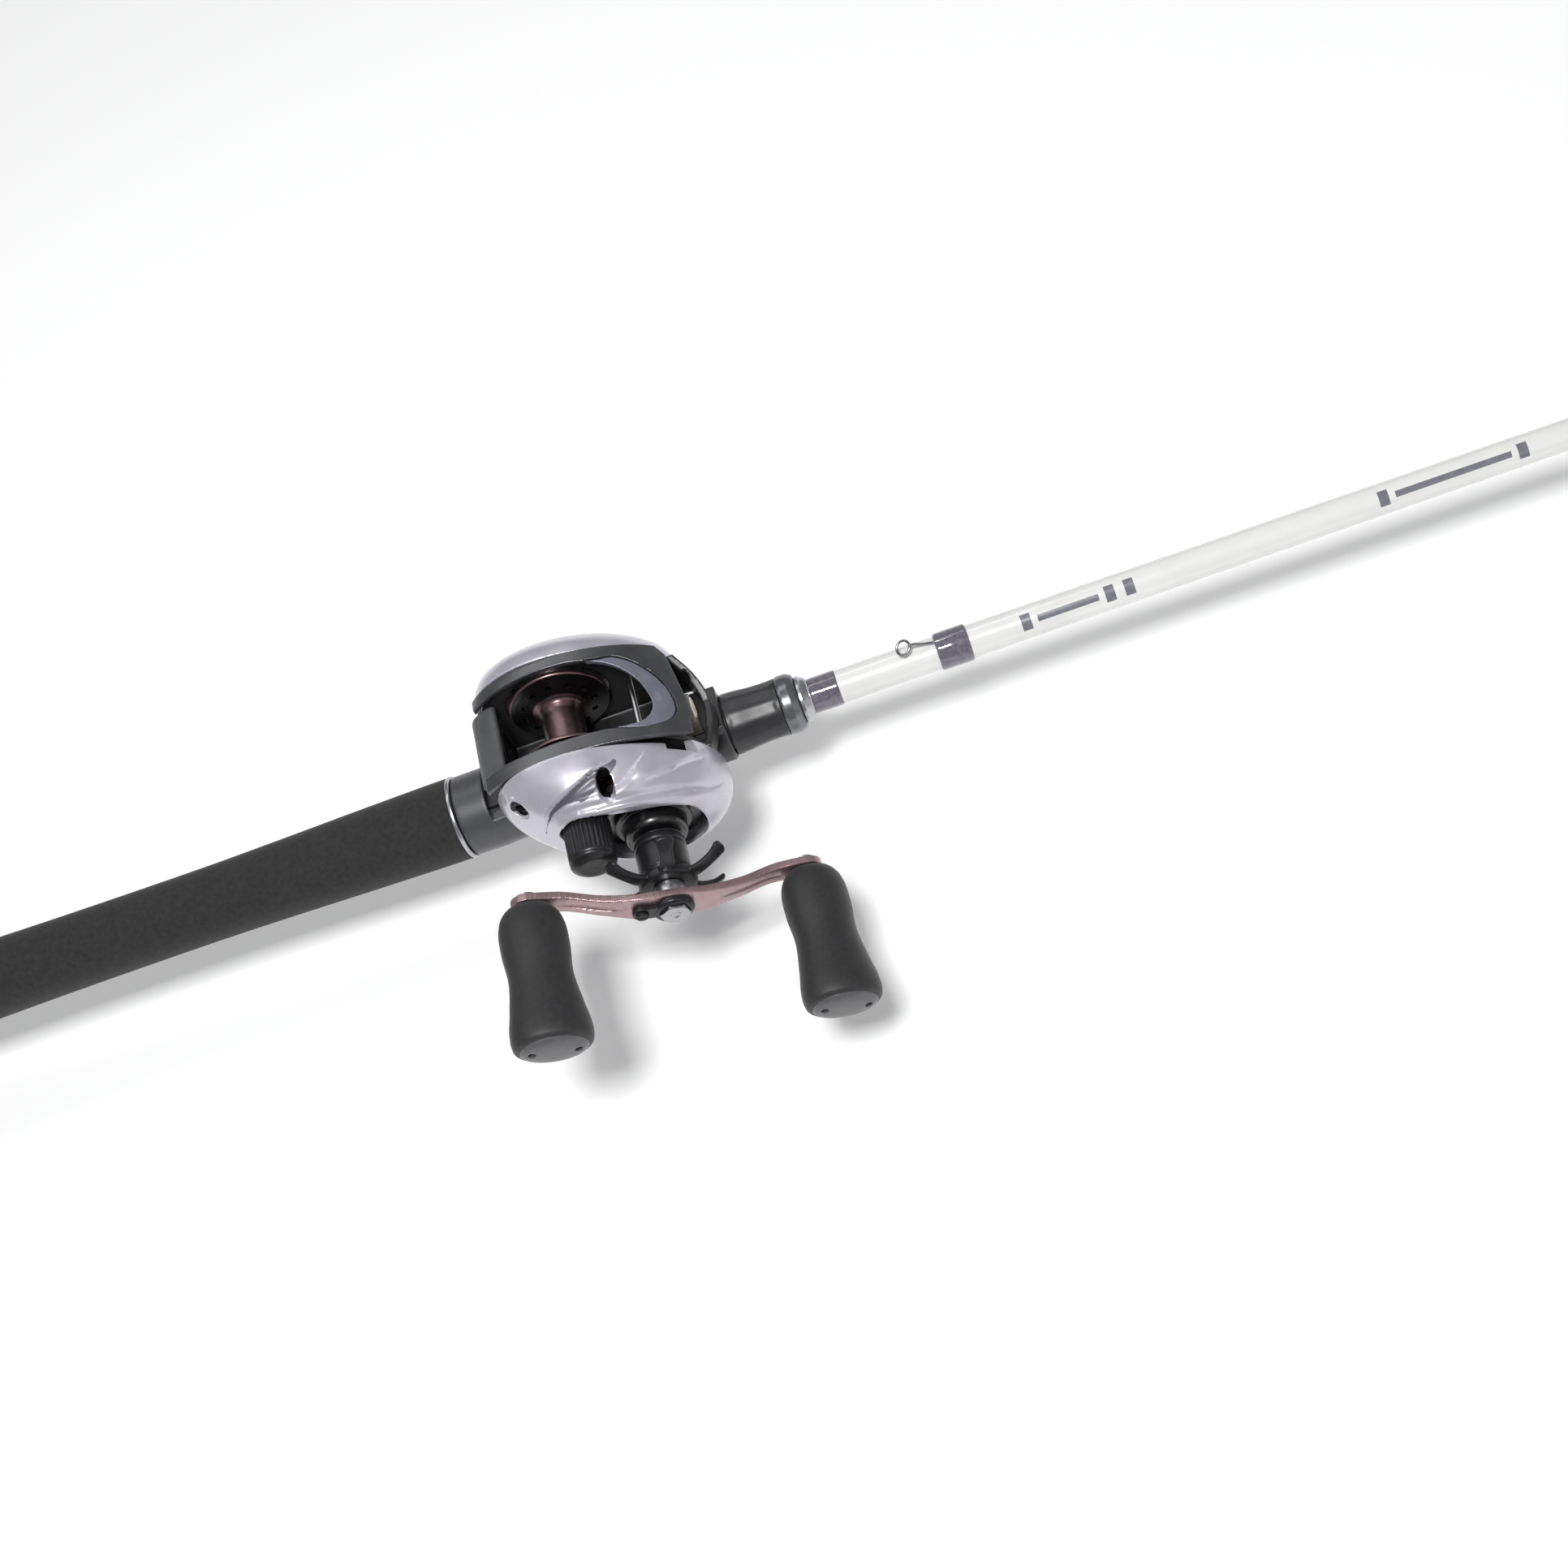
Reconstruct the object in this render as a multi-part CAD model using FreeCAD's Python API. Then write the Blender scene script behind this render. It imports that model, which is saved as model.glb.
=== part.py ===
"""Low-profile baitcasting reel on a one-piece casting rod.

Millimetres, +Z up.  The origin is on the rod's axis at the rear edge of the butt cap's wall.
+X runs along the rod to its tip, and +Y is the angler's left, so the crank is on the -Y side.
Rod pieces are drawn in this frame.  Reel pieces are drawn about a point on the rod's axis
under the spool, and are moved to REEL_X when they are written.
"""
import os
from math import acos, cos, degrees, pi, radians, sin, sqrt, tan

import FreeCAD, Part

# ---- rod ----------------------------------------------------------------------------------
REEL_X = 265.0            # from the butt to the middle of the reel
ROD_END = 1976.0          # tip of the bare blank
BLANK_R = [(-243, 5.9), (0, 5.54), (85, 5.27), (247, 4.77), (ROD_END - REEL_X, 0.95)]
BORE_END = 1500.0         # the blank is hollow up to here
BUTT_R = 13.0
BUTT_LEN = 22.0
GRIP_END = -44.8          # front end of the rear grip, about the reel
SADDLE_Z = 7.4            # flat on the reel seat that carries the reel foot
SEAT_BORE = 5.8
THREAD_R = 7.6            # threaded front tube of the reel seat
NUT_BORE = 7.7
NUT_START = 43.0
NUT_END = 65.6
HOOD_TRAVEL = 6.0         # how far the sliding hood backs off
TIP_RING_Z = 5.2
# each guide: distance back from the tip, ring radius, ring centre above the blank's surface
GUIDES = [(100, 3.0, 7.4), (210, 3.0, 7.4), (330, 3.5, 8.0), (460, 3.5, 8.2), (605, 4.0, 9.0),
          (770, 4.0, 9.4), (960, 5.0, 11.6), (1180, 6.0, 14.4)]

# ---- reel: gear train ---------------------------------------------------------------------
SPOOL_X, SPOOL_Z = -1.2, 26.0
MODULE = 0.5
PRESSURE = radians(25)
DRIVE_TEETH, PINION_TEETH = 73, 10
FEED_TEETH, WORM_TEETH = 26, 24
BACKLASH = 0.10
DRIVE_DIST = MODULE * (DRIVE_TEETH + PINION_TEETH) / 2
DRIVE_ANGLE = radians(-33.5)        # from the spool axis to the crank axis
DRIVE_X = SPOOL_X + DRIVE_DIST * cos(DRIVE_ANGLE)
DRIVE_Z = SPOOL_Z + DRIVE_DIST * sin(DRIVE_ANGLE)
WORM_DIST = MODULE * (FEED_TEETH + WORM_TEETH) / 2
WORM_ANGLE = radians(8.0)
WORM_X = DRIVE_X + WORM_DIST * cos(WORM_ANGLE)
WORM_Z = DRIVE_Z + WORM_DIST * sin(WORM_ANGLE)

# ---- reel: body stations along Y ----------------------------------------------------------
LEFT_IN, LEFT_OUT = 10.6, 13.2      # left wall of the frame
RIGHT_IN, RIGHT_OUT = -14.8, -17.2  # right wall of the frame
FLOOR_Z, FLOOR_T = 9.2, 1.0         # floor of the frame, on top of the foot
SPOOL_MID, SPOOL_HALF = -2.0, 12.0  # middle and half width of the spool
SPOOL_R = 15.2
SHAFT_R = 1.5
PINION_SHAFT_R = 1.2
LEFT_TILT, RIGHT_TILT = radians(-18), radians(-28)
# outline sections: station, centre x, centre z, long half-axis, short half-axis
LEFT_SECTIONS = [
    (13.5, 4.6, 22.6, 31.4, 20.4), (17, 4.6, 22.5, 30.8, 19.8), (21, 4.4, 22.2, 28.6, 17.8),
    (24.6, 4.0, 22.0, 23.4, 14.4), (26.8, 3.4, 22.0, 17.6, 10.8)]
RIGHT_SECTIONS = [
    (-17.5, 7.8, 18.2, 35.2, 22.6), (-21, 8.2, 17.8, 35.2, 22.7), (-26, 9.0, 17.4, 33.6, 21.8),
    (-31, 10.2, 17.2, 29.8, 19.8), (-35, 11.2, 17.4, 25.0, 17.2), (-37, 11.8, 17.6, 21.6, 15.2)]
COWL_LEFT = (13.3, 5.4, 21.6, 34.5, 21.6, radians(-12))
COWL_RIGHT = (-20.4, 9.0, 18.2, 43.0, 22.6, radians(-11))
SHELL = 1.7                         # wall of the side plates and of the cowl
WALL_INSET = 1.8                    # the frame's walls stand this far inside the side plates' outline
CAP_R = 6.9                         # cast control cap
CAP_END = -49.3
STAR_HUB_R = 7.6
STAR_ARMS = 6
CRANK_HALF = 40.5                   # from the crank axis to a knob's axis
CRANK_TILT = radians(21.6)          # the rear end of the crank stands this much up
ARM_MID = -60.0                     # inner face of the crank arm at its middle
ARM_SWEEP = 5.6                     # how far its ends are swept back to the reel
ARM_T = 2.6
KNOB_LEN = 45.6
KNOB_START = ARM_MID + ARM_SWEEP - ARM_T - 0.6
# knob profile: distance along the knob, half width, half depth
KNOB_PROFILE = [(0, 5.0, 4.6), (1.2, 7.0, 6.2), (5.5, 9.1, 7.8), (12, 9.6, 8.0),
                (22, 9.1, 7.3), (32, 10.2, 7.9), (38.5, 11.3, 8.6), (43.6, 10.0, 7.6)]
POST_R = 2.0                        # knob posts
STAR_PHASE = radians(-15)
STAR_R = 19.2
RUN = 0.05                          # radial clearance of a running fit
FOOT_SCREWS = (-14.0, 20.0)
COVER_SCREWS = [(-17.2, 34.4), (9.2, 37.4)]   # x, z of the crank-side cover's screws
SCREW_FACE = -25.0                  # bottom of their recesses
# outline of the opening in the crank-side cover
GEAR_OPENING = [(-8.8, 26.0), (-4.4, 33.0), (3.6, 33.8), (11, 30.4), (22, 27.0), (29.6, 20.6),
                (31.0, 11.0), (27.4, 3.4), (18, 0.6), (8, 3.4), (-2, 12.6)]
BAR_X, BAR_Z = 21.4, 29.6           # line bar between the walls
DIAL_X, DIAL_Z = 3.0, 20.0          # axis of the brake dial
PIN_Y = -18.4                       # station of the spool's cross pin
# x, z of the two posts that the yoke slides on
YOKE_POSTS = [(SPOOL_X - 8.6, SPOOL_Z + 3.0), (SPOOL_X + 4.6, SPOOL_Z + 7.0)]
CAM_REAR = -21.0                    # rear edge of the cam plate
GUIDE_Y = -7.0                      # where the line guide stands on its travel
RING_X, RING_Z = 35.4, 24.6         # its ring


# ---- helpers ------------------------------------------------------------------------------
def vec(x, y, z):
    return FreeCAD.Vector(x, y, z)


def rod_x(r, x0, x1, y=0.0, z=0.0):
    return Part.makeCylinder(r, x1 - x0, vec(x0, y, z), vec(1, 0, 0))


def rod_y(x, z, r, y0, y1):
    low, high = min(y0, y1), max(y0, y1)
    return Part.makeCylinder(r, high - low, vec(x, low, z), vec(0, 1, 0))


def ring_y(x, z, outer, inner, y0, y1):
    return rod_y(x, z, outer, y0, y1).cut(rod_y(x, z, inner, min(y0, y1) - 1, max(y0, y1) + 1))


def box(x0, x1, y0, y1, z0, z1):
    low = vec(min(x0, x1), min(y0, y1), min(z0, z1))
    return Part.makeBox(abs(x1 - x0), abs(y1 - y0), abs(z1 - z0), low)


def bar(start, end, r):
    """Round bar with ball ends between two points."""
    axis = end.sub(start)
    body = Part.makeCylinder(r, axis.Length, start, axis)
    return body.fuse([Part.makeSphere(r, start), Part.makeSphere(r, end)])


def turned_x(profile, z=0.0, x=0.0):
    """Solid of revolution about an axis along X, from (x, radius) points."""
    points = [vec(x + px, 0, z + pr) for px, pr in profile]
    face = Part.Face(Part.makePolygon(points + points[:1]))
    return face.revolve(vec(x, 0, z), vec(1, 0, 0), 360)


def turned_y(x, z, profile):
    """Solid of revolution about an axis along Y, from (y, radius) points."""
    points = [vec(x + pr, py, z) for py, pr in profile]
    face = Part.Face(Part.makePolygon(points + points[:1]))
    return face.revolve(vec(x, 0, z), vec(0, 1, 0), 360)


def smooth_x(profile, bore):
    """Sleeve about the X axis: a smooth outside through (x, radius) points and a round bore."""
    points = [vec(px, 0, pr) for px, pr in profile]
    curve = Part.BSplineCurve()
    curve.interpolate(points)
    first, last = points[0], points[-1]
    low = vec(first.x, 0, bore)
    high = vec(last.x, 0, bore)
    edges = [curve.toShape(), Part.makeLine(last, high), Part.makeLine(high, low),
             Part.makeLine(low, first)]
    return Part.Face(Part.Wire(edges)).revolve(vec(0, 0, 0), vec(1, 0, 0), 360)


def fuse(shapes):
    return shapes[0].fuse(shapes[1:]).removeSplitter() if len(shapes) > 1 else shapes[0]


def group(shapes):
    return Part.makeCompound(shapes)


def ellipse_wire(y, cx, cz, a, b, tilt):
    """Tilted ellipse in the plane at y, starting on its long axis."""
    major = vec(cos(tilt), 0, sin(tilt))
    edge = Part.Ellipse(vec(cx, y, cz).add(major.multiply(a)),
                        vec(cx - sin(tilt) * b, y, cz + cos(tilt) * b), vec(cx, y, cz)).toShape()
    return Part.Wire([edge])


def lofted(sections, tilt, inset=0.0, grow=0.0):
    """Solid through tilted ellipses; grow moves the last section outwards along Y."""
    wires = [ellipse_wire(y, cx, cz, a - inset, b - inset, tilt) for y, cx, cz, a, b in sections]
    if grow:
        y, cx, cz, a, b = sections[0]
        wires.insert(0, ellipse_wire(y + grow, cx, cz, a - inset, b - inset, tilt))
    return Part.makeLoft(wires, True, False)


def spline_prism(points, y0, y1):
    """Closed smooth outline through (x, z) points, extruded along Y."""
    curve = Part.BSplineCurve()
    curve.interpolate([vec(px, y0, pz) for px, pz in points], PeriodicFlag=True)
    return Part.Face(Part.Wire([curve.toShape()])).extrude(vec(0, y1 - y0, 0))


def blank_radius(x):
    """Outer radius of the blank at x, counted from the reel."""
    for (x0, r0), (x1, r1) in zip(BLANK_R, BLANK_R[1:]):
        if x <= x1:
            return r0 + (r1 - r0) * (x - x0) / (x1 - x0)
    return BLANK_R[-1][1]


def write(name, shape, at_reel=False):
    solid = shape.copy()
    if at_reel:
        solid.translate(vec(REEL_X, 0, 0))
    solid.exportStep("parts/%s.step" % name)
    print("%-22s %2d solid %-5s %9.1f mm3" % (name, len(solid.Solids), solid.isValid(), solid.Volume))


# ---- rod pieces ---------------------------------------------------------------------------
def blank():
    """Tapered graphite tube, closed from BORE_END to the tip."""
    outline = [(REEL_X + x, r) for x, r in BLANK_R]
    inside = [(BORE_END, 1.1), (outline[0][0], 4.8)]
    return turned_x(outline + [(ROD_END, 0.0), (BORE_END, 0.0)] + inside)


def butt_cap():
    return turned_x([(-4, 0), (-4, 6), (-3.2, 9.6), (-1.6, 11.9), (0, BUTT_R), (BUTT_LEN, BUTT_R),
                     (BUTT_LEN, 11.05), (6, 11.05), (6, 0)])


def rear_grip():
    """Foam grip with a tenon that fills the butt cap."""
    front = REEL_X + GRIP_END
    body = smooth_x([(BUTT_LEN + 0.1, 12.7), (45, 12.5), (90, 11.8), (134, 11.6), (160, 11.9),
                     (190, 12.5), (212, 12.85), (front, 12.9)], 5.95)
    tenon = rod_x(11.0, 6.2, BUTT_LEN + 0.2).cut(rod_x(5.95, 5, BUTT_LEN + 1))
    return body.fuse(tenon)


def trim_ring():
    return turned_x([(GRIP_END + 0.1, 12.9), (GRIP_END + 0.6, 13.1), (GRIP_END + 1.1, 13.1),
                     (GRIP_END + 1.5, 12.7), (GRIP_END + 1.5, SEAT_BORE), (GRIP_END + 0.1, SEAT_BORE)])


def reel_seat():
    """Barrel with the fixed hood, saddle, front tube and finger trigger."""
    start = GRIP_END + 1.6
    body = turned_x([(start, 12.5), (-33, 12.6), (-30, 12.3), (-6, 11.6), (18, 10.2), (29, 9.0),
                     (38, 9.0), (38.6, THREAD_R), (66, THREAD_R), (66, SEAT_BORE), (start, SEAT_BORE)])
    saddle = box(-33, 40, -15, 15, SADDLE_Z, 20)
    pocket = box(-40.2, -32, -6.3, 6.3, SADDLE_Z, 9.7)
    hook = [(-31, -9), (-24, -13), (-19, -22), (-15.5, -30), (-12.3, -32), (-10.2, -29.5),
            (-10.8, -23), (-11.5, -16), (-7, -10), (-18, -6)]
    trigger = spline_prism(hook, -3.1, 3.1)
    trigger = trigger.cut(rod_x(SEAT_BORE + 0.5, -40, 10))
    return fuse([body.cut(saddle).cut(pocket), trigger])


def sliding_hood():
    """Collar that clamps the front tongue of the foot; it slides on the round of the seat."""
    collar = turned_x([(31.5, 10.2), (32.5, 10.6), (41.9, 10.6), (42.7, 9.9), (42.7, 9.1), (31.5, 9.1)])
    roof = box(31.5, 42.7, -7.6, 7.6, 6.5, 11.4)
    roof = roof.cut(rod_x(9.1, 30, 44))
    pocket = box(30, 39.6, -6.4, 6.4, SADDLE_Z - 0.3, 9.9)
    return fuse([collar, roof]).cut(pocket)


def lock_nut():
    """Fore nut: a waisted round grip."""
    return turned_x([(NUT_START, 9.3), (NUT_START + 0.5, 9.6), (47, 9.5), (52, 9.0), (57, 8.85),
                     (60.2, 8.95), (60.2, NUT_BORE), (NUT_START, NUT_BORE)])


def nut_trim():
    return turned_x([(60.3, 8.95), (61.2, 9.25), (63.6, 9.25), (NUT_END, 8.4), (NUT_END, NUT_BORE),
                     (60.3, NUT_BORE)])


def winding_check():
    return turned_x([(66.1, 7.3), (67.2, 7.3), (69.2, 6.1), (69.2, 5.45), (66.1, 5.45)])


def wrap(x0, x1, thickness, lift=0.0):
    """Thread binding on the blank; lift moves its outside up over what it holds down."""
    inner = blank_radius(x0) + 0.02
    edge = 0.35 * thickness
    sleeve = turned_x([(x0, inner + edge), (x0 + 0.5, inner + thickness), (x1 - 0.5, inner + thickness),
                       (x1, inner + edge), (x1, 0), (x0, 0)], z=lift)
    return sleeve.cut(rod_x(inner, x0 - 1, x1 + 1))


def keeper():
    """Hook keeper: a wire shank under the binding that rises to a small eye."""
    top = blank_radius(115) + 0.5
    shank = bar(vec(118, 0, top), vec(109, 0, top + 0.15), 0.45)
    rise = bar(vec(109, 0, top + 0.15), vec(102.3, 0, top + 2.2), 0.45)
    eye = Part.makeTorus(2.0, 0.42, vec(100.4, 0, top + 2.6), vec(-0.25, -0.35, 1))
    return fuse([shank, rise, eye])


def guide_place(back, ring_r, lift):
    """Station and ring height of a line guide."""
    x = ROD_END - back
    return x, blank_radius(x - REEL_X), blank_radius(x - REEL_X) + lift


def guide_foot(x, blank_r, length, side):
    """Flat foot on top of the blank, in front of (side 1) or behind (side -1) the ring."""
    near = x + side * 7.5
    far = near + side * length
    return box(near, far, -0.8, 0.8, blank_r + 0.06, blank_r + 0.86)


def guide_frame(back, ring_r, lift):
    x, blank_r, height = guide_place(back, ring_r, lift)
    rim = [(-0.9, ring_r), (0.9, ring_r), (0.9, ring_r - 0.9), (-0.9, ring_r - 0.9)]
    pieces = [turned_x(rim, z=height, x=x)]
    sides = (1, -1) if ring_r >= 5 else (1,)
    for side in sides:
        foot_top = blank_r + 0.46
        for hand in (-1, 1):
            low = vec(x + side * 8.0, hand * 0.35, foot_top)
            high = vec(x, hand * (ring_r - 0.45) * 0.8, height - (ring_r - 0.45) * 0.6)
            pieces.append(bar(low, high, 0.42))
        pieces.append(guide_foot(x, blank_r, 12, side))
    return fuse(pieces)


def guide_ring(back, ring_r, lift):
    x, _, height = guide_place(back, ring_r, lift)
    outer = ring_r - 0.95
    bore = ring_r - 1.9
    return turned_x([(-0.85, outer), (0.85, outer), (1.1, outer - 0.3), (0.8, bore + 0.12), (0.5, bore),
                     (-0.5, bore), (-0.8, bore + 0.12), (-1.1, outer - 0.3)], z=height, x=x)


def guide_wraps():
    """One binding over each foot."""
    sleeves = []
    for back, ring_r, lift in GUIDES:
        x, blank_r, _ = guide_place(back, ring_r, lift)
        for side in ((1, -1) if ring_r >= 5 else (1,)):
            ends = sorted((x + side * 9.5 - REEL_X, x + side * 21 - REEL_X))
            sleeve = wrap(ends[0], ends[1], 0.72, lift=0.42)
            sleeve.translate(vec(REEL_X, 0, 0))
            sleeves.append(sleeve.cut(guide_foot(x, blank_r, 12, side)))
    return sleeves


def fore_wrap():
    """Binding between the winding check and the bare blank."""
    sleeve = wrap(69.4, 78.4, 0.16)
    sleeve.translate(vec(REEL_X, 0, 0))
    return sleeve


def keeper_wrap():
    """Binding over the hook keeper's shank."""
    sleeve = wrap(109.6, 119.8, 0.55, lift=0.35).cut(keeper())
    sleeve.translate(vec(REEL_X, 0, 0))
    return sleeve


def tip_top_frame():
    """Tube on the tip with a ring held over it by two struts."""
    x = ROD_END
    tip_r = BLANK_R[-1][1]
    tube = turned_x([(-9, tip_r + 0.5), (1.0, tip_r + 0.5), (1.6, tip_r), (1.6, 0), (0.1, 0),
                     (0.1, tip_r + 0.12), (-9, tip_r + 0.12)], x=x)
    ring = turned_x([(-0.8, 3.3), (0.8, 3.3), (0.8, 2.4), (-0.8, 2.4)], z=TIP_RING_Z, x=x + 3.5)
    base = bar(vec(x + 1.2, 0, 0), vec(x + 3.3, 0, TIP_RING_Z - 3.0), 0.45)
    struts = [bar(vec(x - 5, hand * 0.8, tip_r), vec(x + 3.5, hand * 2.6, TIP_RING_Z + 1.2), 0.4)
              for hand in (-1, 1)]
    return fuse([tube, ring, base] + struts)


def tip_top_ring():
    return turned_x([(-0.8, 2.35), (0.8, 2.35), (1.0, 2.0), (0.4, 1.45), (-0.4, 1.45), (-1.0, 2.0)],
                    z=TIP_RING_Z, x=ROD_END + 3.5)


# ---- gears --------------------------------------------------------------------------------
def involute(angle):
    return tan(angle) - angle


def flank_angle(radius, pitch_r, half_tooth):
    """Angle from a tooth's middle to its flank at a radius."""
    base = pitch_r * cos(PRESSURE)
    reach = acos(base / radius) if radius > base else 0.0
    return half_tooth + involute(PRESSURE) - involute(reach)


def gear(x, z, teeth, y0, y1, bore, phase, thin=0.0):
    """Spur gear about Y with a tooth's middle at angle phase, made of flat flanks."""
    pitch_r = MODULE * teeth / 2
    tip = pitch_r + 0.8 * MODULE
    root = pitch_r - 1.1 * MODULE
    half_tooth = pi / (2 * teeth) - (BACKLASH / 4 + thin) / pitch_r
    radii = [root, root + 0.3 * (pitch_r - root), pitch_r, pitch_r + 0.45 * MODULE, tip]
    outline = []
    for tooth in range(teeth):
        middle = phase + 2 * pi * tooth / teeth
        rising = [(middle - flank_angle(r, pitch_r, half_tooth), r) for r in radii]
        falling = [(middle + flank_angle(r, pitch_r, half_tooth), r) for r in reversed(radii)]
        outline += [vec(x + r * cos(a), y0, z + r * sin(a)) for a, r in rising + falling]
    body = Part.Face(Part.makePolygon(outline + outline[:1])).extrude(vec(0, y1 - y0, 0))
    return body.cut(rod_y(x, z, bore, y0, y1))


# ---- reel: fixed pieces -------------------------------------------------------------------
def reel_foot():
    """Foot with a thin tongue at each end and a raised pad under the frame."""
    plate = box(-39.6, 38.6, -6.0, 6.0, SADDLE_Z, 9.15)
    for x in (-39.6, 38.6):
        corner = Part.makeCylinder(60, 20, vec(x - 60 if x > 0 else x + 60, 0, 0), vec(0, 0, 1))
        plate = plate.common(corner)
    wide = box(-20, 24, -8.2, 8.2, SADDLE_Z, 9.15)
    holes = [Part.makeCylinder(1.05, 4, vec(x, 0, 6), vec(0, 0, 1)) for x in FOOT_SCREWS]
    return fuse([plate, wide]).cut(group(holes))


def foot_screws():
    """Two flush screws that hold the foot to the frame's floor."""
    return [Part.makeCylinder(1.0, 9.75 - SADDLE_Z - 0.1, vec(x, 0, SADDLE_Z + 0.1), vec(0, 0, 1))
            for x in FOOT_SCREWS]


def frame_wall(sections, tilt, y0, y1):
    _, cx, cz, a, b = sections[0]
    outline = ellipse_wire(y0, cx, cz, a - WALL_INSET, b - WALL_INSET, tilt)
    wall = Part.Face(outline).extrude(vec(0, y1 - y0, 0))
    return wall.cut(box(-60, 60, y0, y1, -30, FLOOR_Z))


def front_guard():
    """Bowed bar across the nose of the reel."""
    outer = Part.Face(Part.Wire([
        Part.Arc(vec(35.2, LEFT_OUT, 12.2), vec(41.8, -2, 12.2), vec(38.6, RIGHT_OUT, 12.2)).toShape(),
        Part.makeLine(vec(38.6, RIGHT_OUT, 12.2), vec(36.0, RIGHT_OUT, 12.2)),
        Part.Arc(vec(36.0, RIGHT_OUT, 12.2), vec(39.2, -2, 12.2), vec(32.4, LEFT_OUT, 12.2)).toShape(),
        Part.makeLine(vec(32.4, LEFT_OUT, 12.2), vec(35.2, LEFT_OUT, 12.2))]))
    band = outer.extrude(vec(0, 0, 14.0))
    # relief for the line guide's upright and ring over their whole travel
    band = band.cut(box(32, 37.35, -14.8, 8.1, 14.9, 30)).cut(box(32, 37.75, -14.8, 7.1, 20.8, 30))
    line = [(30, 32), (14, 26.2), (-2, 18.6), (-30, 17.8), (-30, 50), (30, 50), (30, 32)]
    above = Part.Face(Part.makePolygon([vec(20, y, z) for y, z in line])).extrude(vec(40, 0, 0))
    return band.cut(above)


def frame():
    """One-piece frame: two walls joined by a floor, a rear bridge and the front guard."""
    left = frame_wall(LEFT_SECTIONS, LEFT_TILT, LEFT_IN, LEFT_OUT)
    right = frame_wall(RIGHT_SECTIONS, RIGHT_TILT, RIGHT_OUT, RIGHT_IN)
    floor = box(-23, 31.2, RIGHT_IN, LEFT_IN, FLOOR_Z, FLOOR_Z + FLOOR_T)
    apron = box(31.0, 36.5, 7.2, LEFT_IN, 12.2, 13.2)
    skirt = box(-24.6, -8.0, LEFT_IN, LEFT_OUT, FLOOR_Z, 20.0)
    bridge = box(-24.6, -21.0, RIGHT_IN, LEFT_IN, FLOOR_Z, 20.8)
    boss = rod_y(DRIVE_X, DRIVE_Z, 4.6, RIGHT_OUT, RIGHT_OUT - 1.4)
    posts = [rod_y(x, z, 1.0, RIGHT_IN - 1, -30.1) for x, z in YOKE_POSTS]
    body = fuse([left, right, floor, bridge, skirt]).cut(cowl_room())
    body = fuse([body, front_guard(), apron, boss] + posts)
    cuts = [rod_y(SPOOL_X, SPOOL_Z, SPOOL_R + 0.5, LEFT_IN - 1, LEFT_OUT + 1),
            rod_y(SPOOL_X, SPOOL_Z, 3.5, RIGHT_OUT - 1, RIGHT_IN + 1),
            rod_y(DRIVE_X, DRIVE_Z, 3.3, RIGHT_OUT - 2, RIGHT_IN - 0.6),
            rod_y(WORM_X, WORM_Z, 1.5 + RUN, RIGHT_OUT - 1, LEFT_OUT + 1),
            box(CAM_REAR - 0.3, CAM_REAR + 2.2, RIGHT_OUT - 1, RIGHT_IN + 1, 20.9, 28.5),
            rod_y(BAR_X, BAR_Z, 1.02, RIGHT_IN - 1.0, LEFT_IN + 1.0)]
    holes = [Part.makeCylinder(1.05, 4, vec(x, 0, 8), vec(0, 0, 1)) for x in FOOT_SCREWS]
    return body.cut(group(cuts)).cut(group(holes))


def line_bar():
    """Polished bar between the walls that keeps the line off the cowl."""
    return rod_y(BAR_X, BAR_Z, 1.0, RIGHT_IN - 0.9, LEFT_IN + 0.9)


def cowl_room():
    """All that lies outside the cowl's inner surface, above its lower edge."""
    inside = []
    for (y, cx, cz, a, b, tilt), shift in ((COWL_LEFT, 0.5), (COWL_RIGHT, -0.5)):
        inside.append(ellipse_wire(y + shift, cx, cz, a - SHELL - 0.1, b - SHELL - 0.1, tilt))
    return box(-60, 60, -30, 30, 28.3, 80).cut(Part.makeLoft(inside, True, True))


def cowl():
    """Upper cover round the spool window: left arch, front hood and right flank in one piece."""
    outer = Part.makeLoft([ellipse_wire(*COWL_LEFT), ellipse_wire(*COWL_RIGHT)], True, True)
    inner_wires = []
    for (y, cx, cz, a, b, tilt), shift in ((COWL_LEFT, 0.5), (COWL_RIGHT, -0.5)):
        inner_wires.append(ellipse_wire(y + shift, cx, cz, a - SHELL, b - SHELL, tilt))
    inner = Part.makeLoft(inner_wires, True, True)
    below = box(-40, 60, -30, 30, -30, 28.5)
    around = Part.Face(Part.Wire([
        Part.Arc(vec(31, 14, 0), vec(37.5, -2, 0), vec(37.8, -21, 0)).toShape(),
        Part.makeLine(vec(37.8, -21, 0), vec(-25, -21, 0)),
        Part.makeLine(vec(-25, -21, 0), vec(-25, 14, 0)),
        Part.makeLine(vec(-25, 14, 0), vec(31, 14, 0))])).extrude(vec(0, 0, 60))
    side = fuse([box(21, 45, -22, -14.5, 0, 31.5), box(28, 45, -30, 30, 0, 30.6)])
    return outer.cut(inner).cut(below).cut(window_cutter()).common(around).cut(side)


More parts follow.
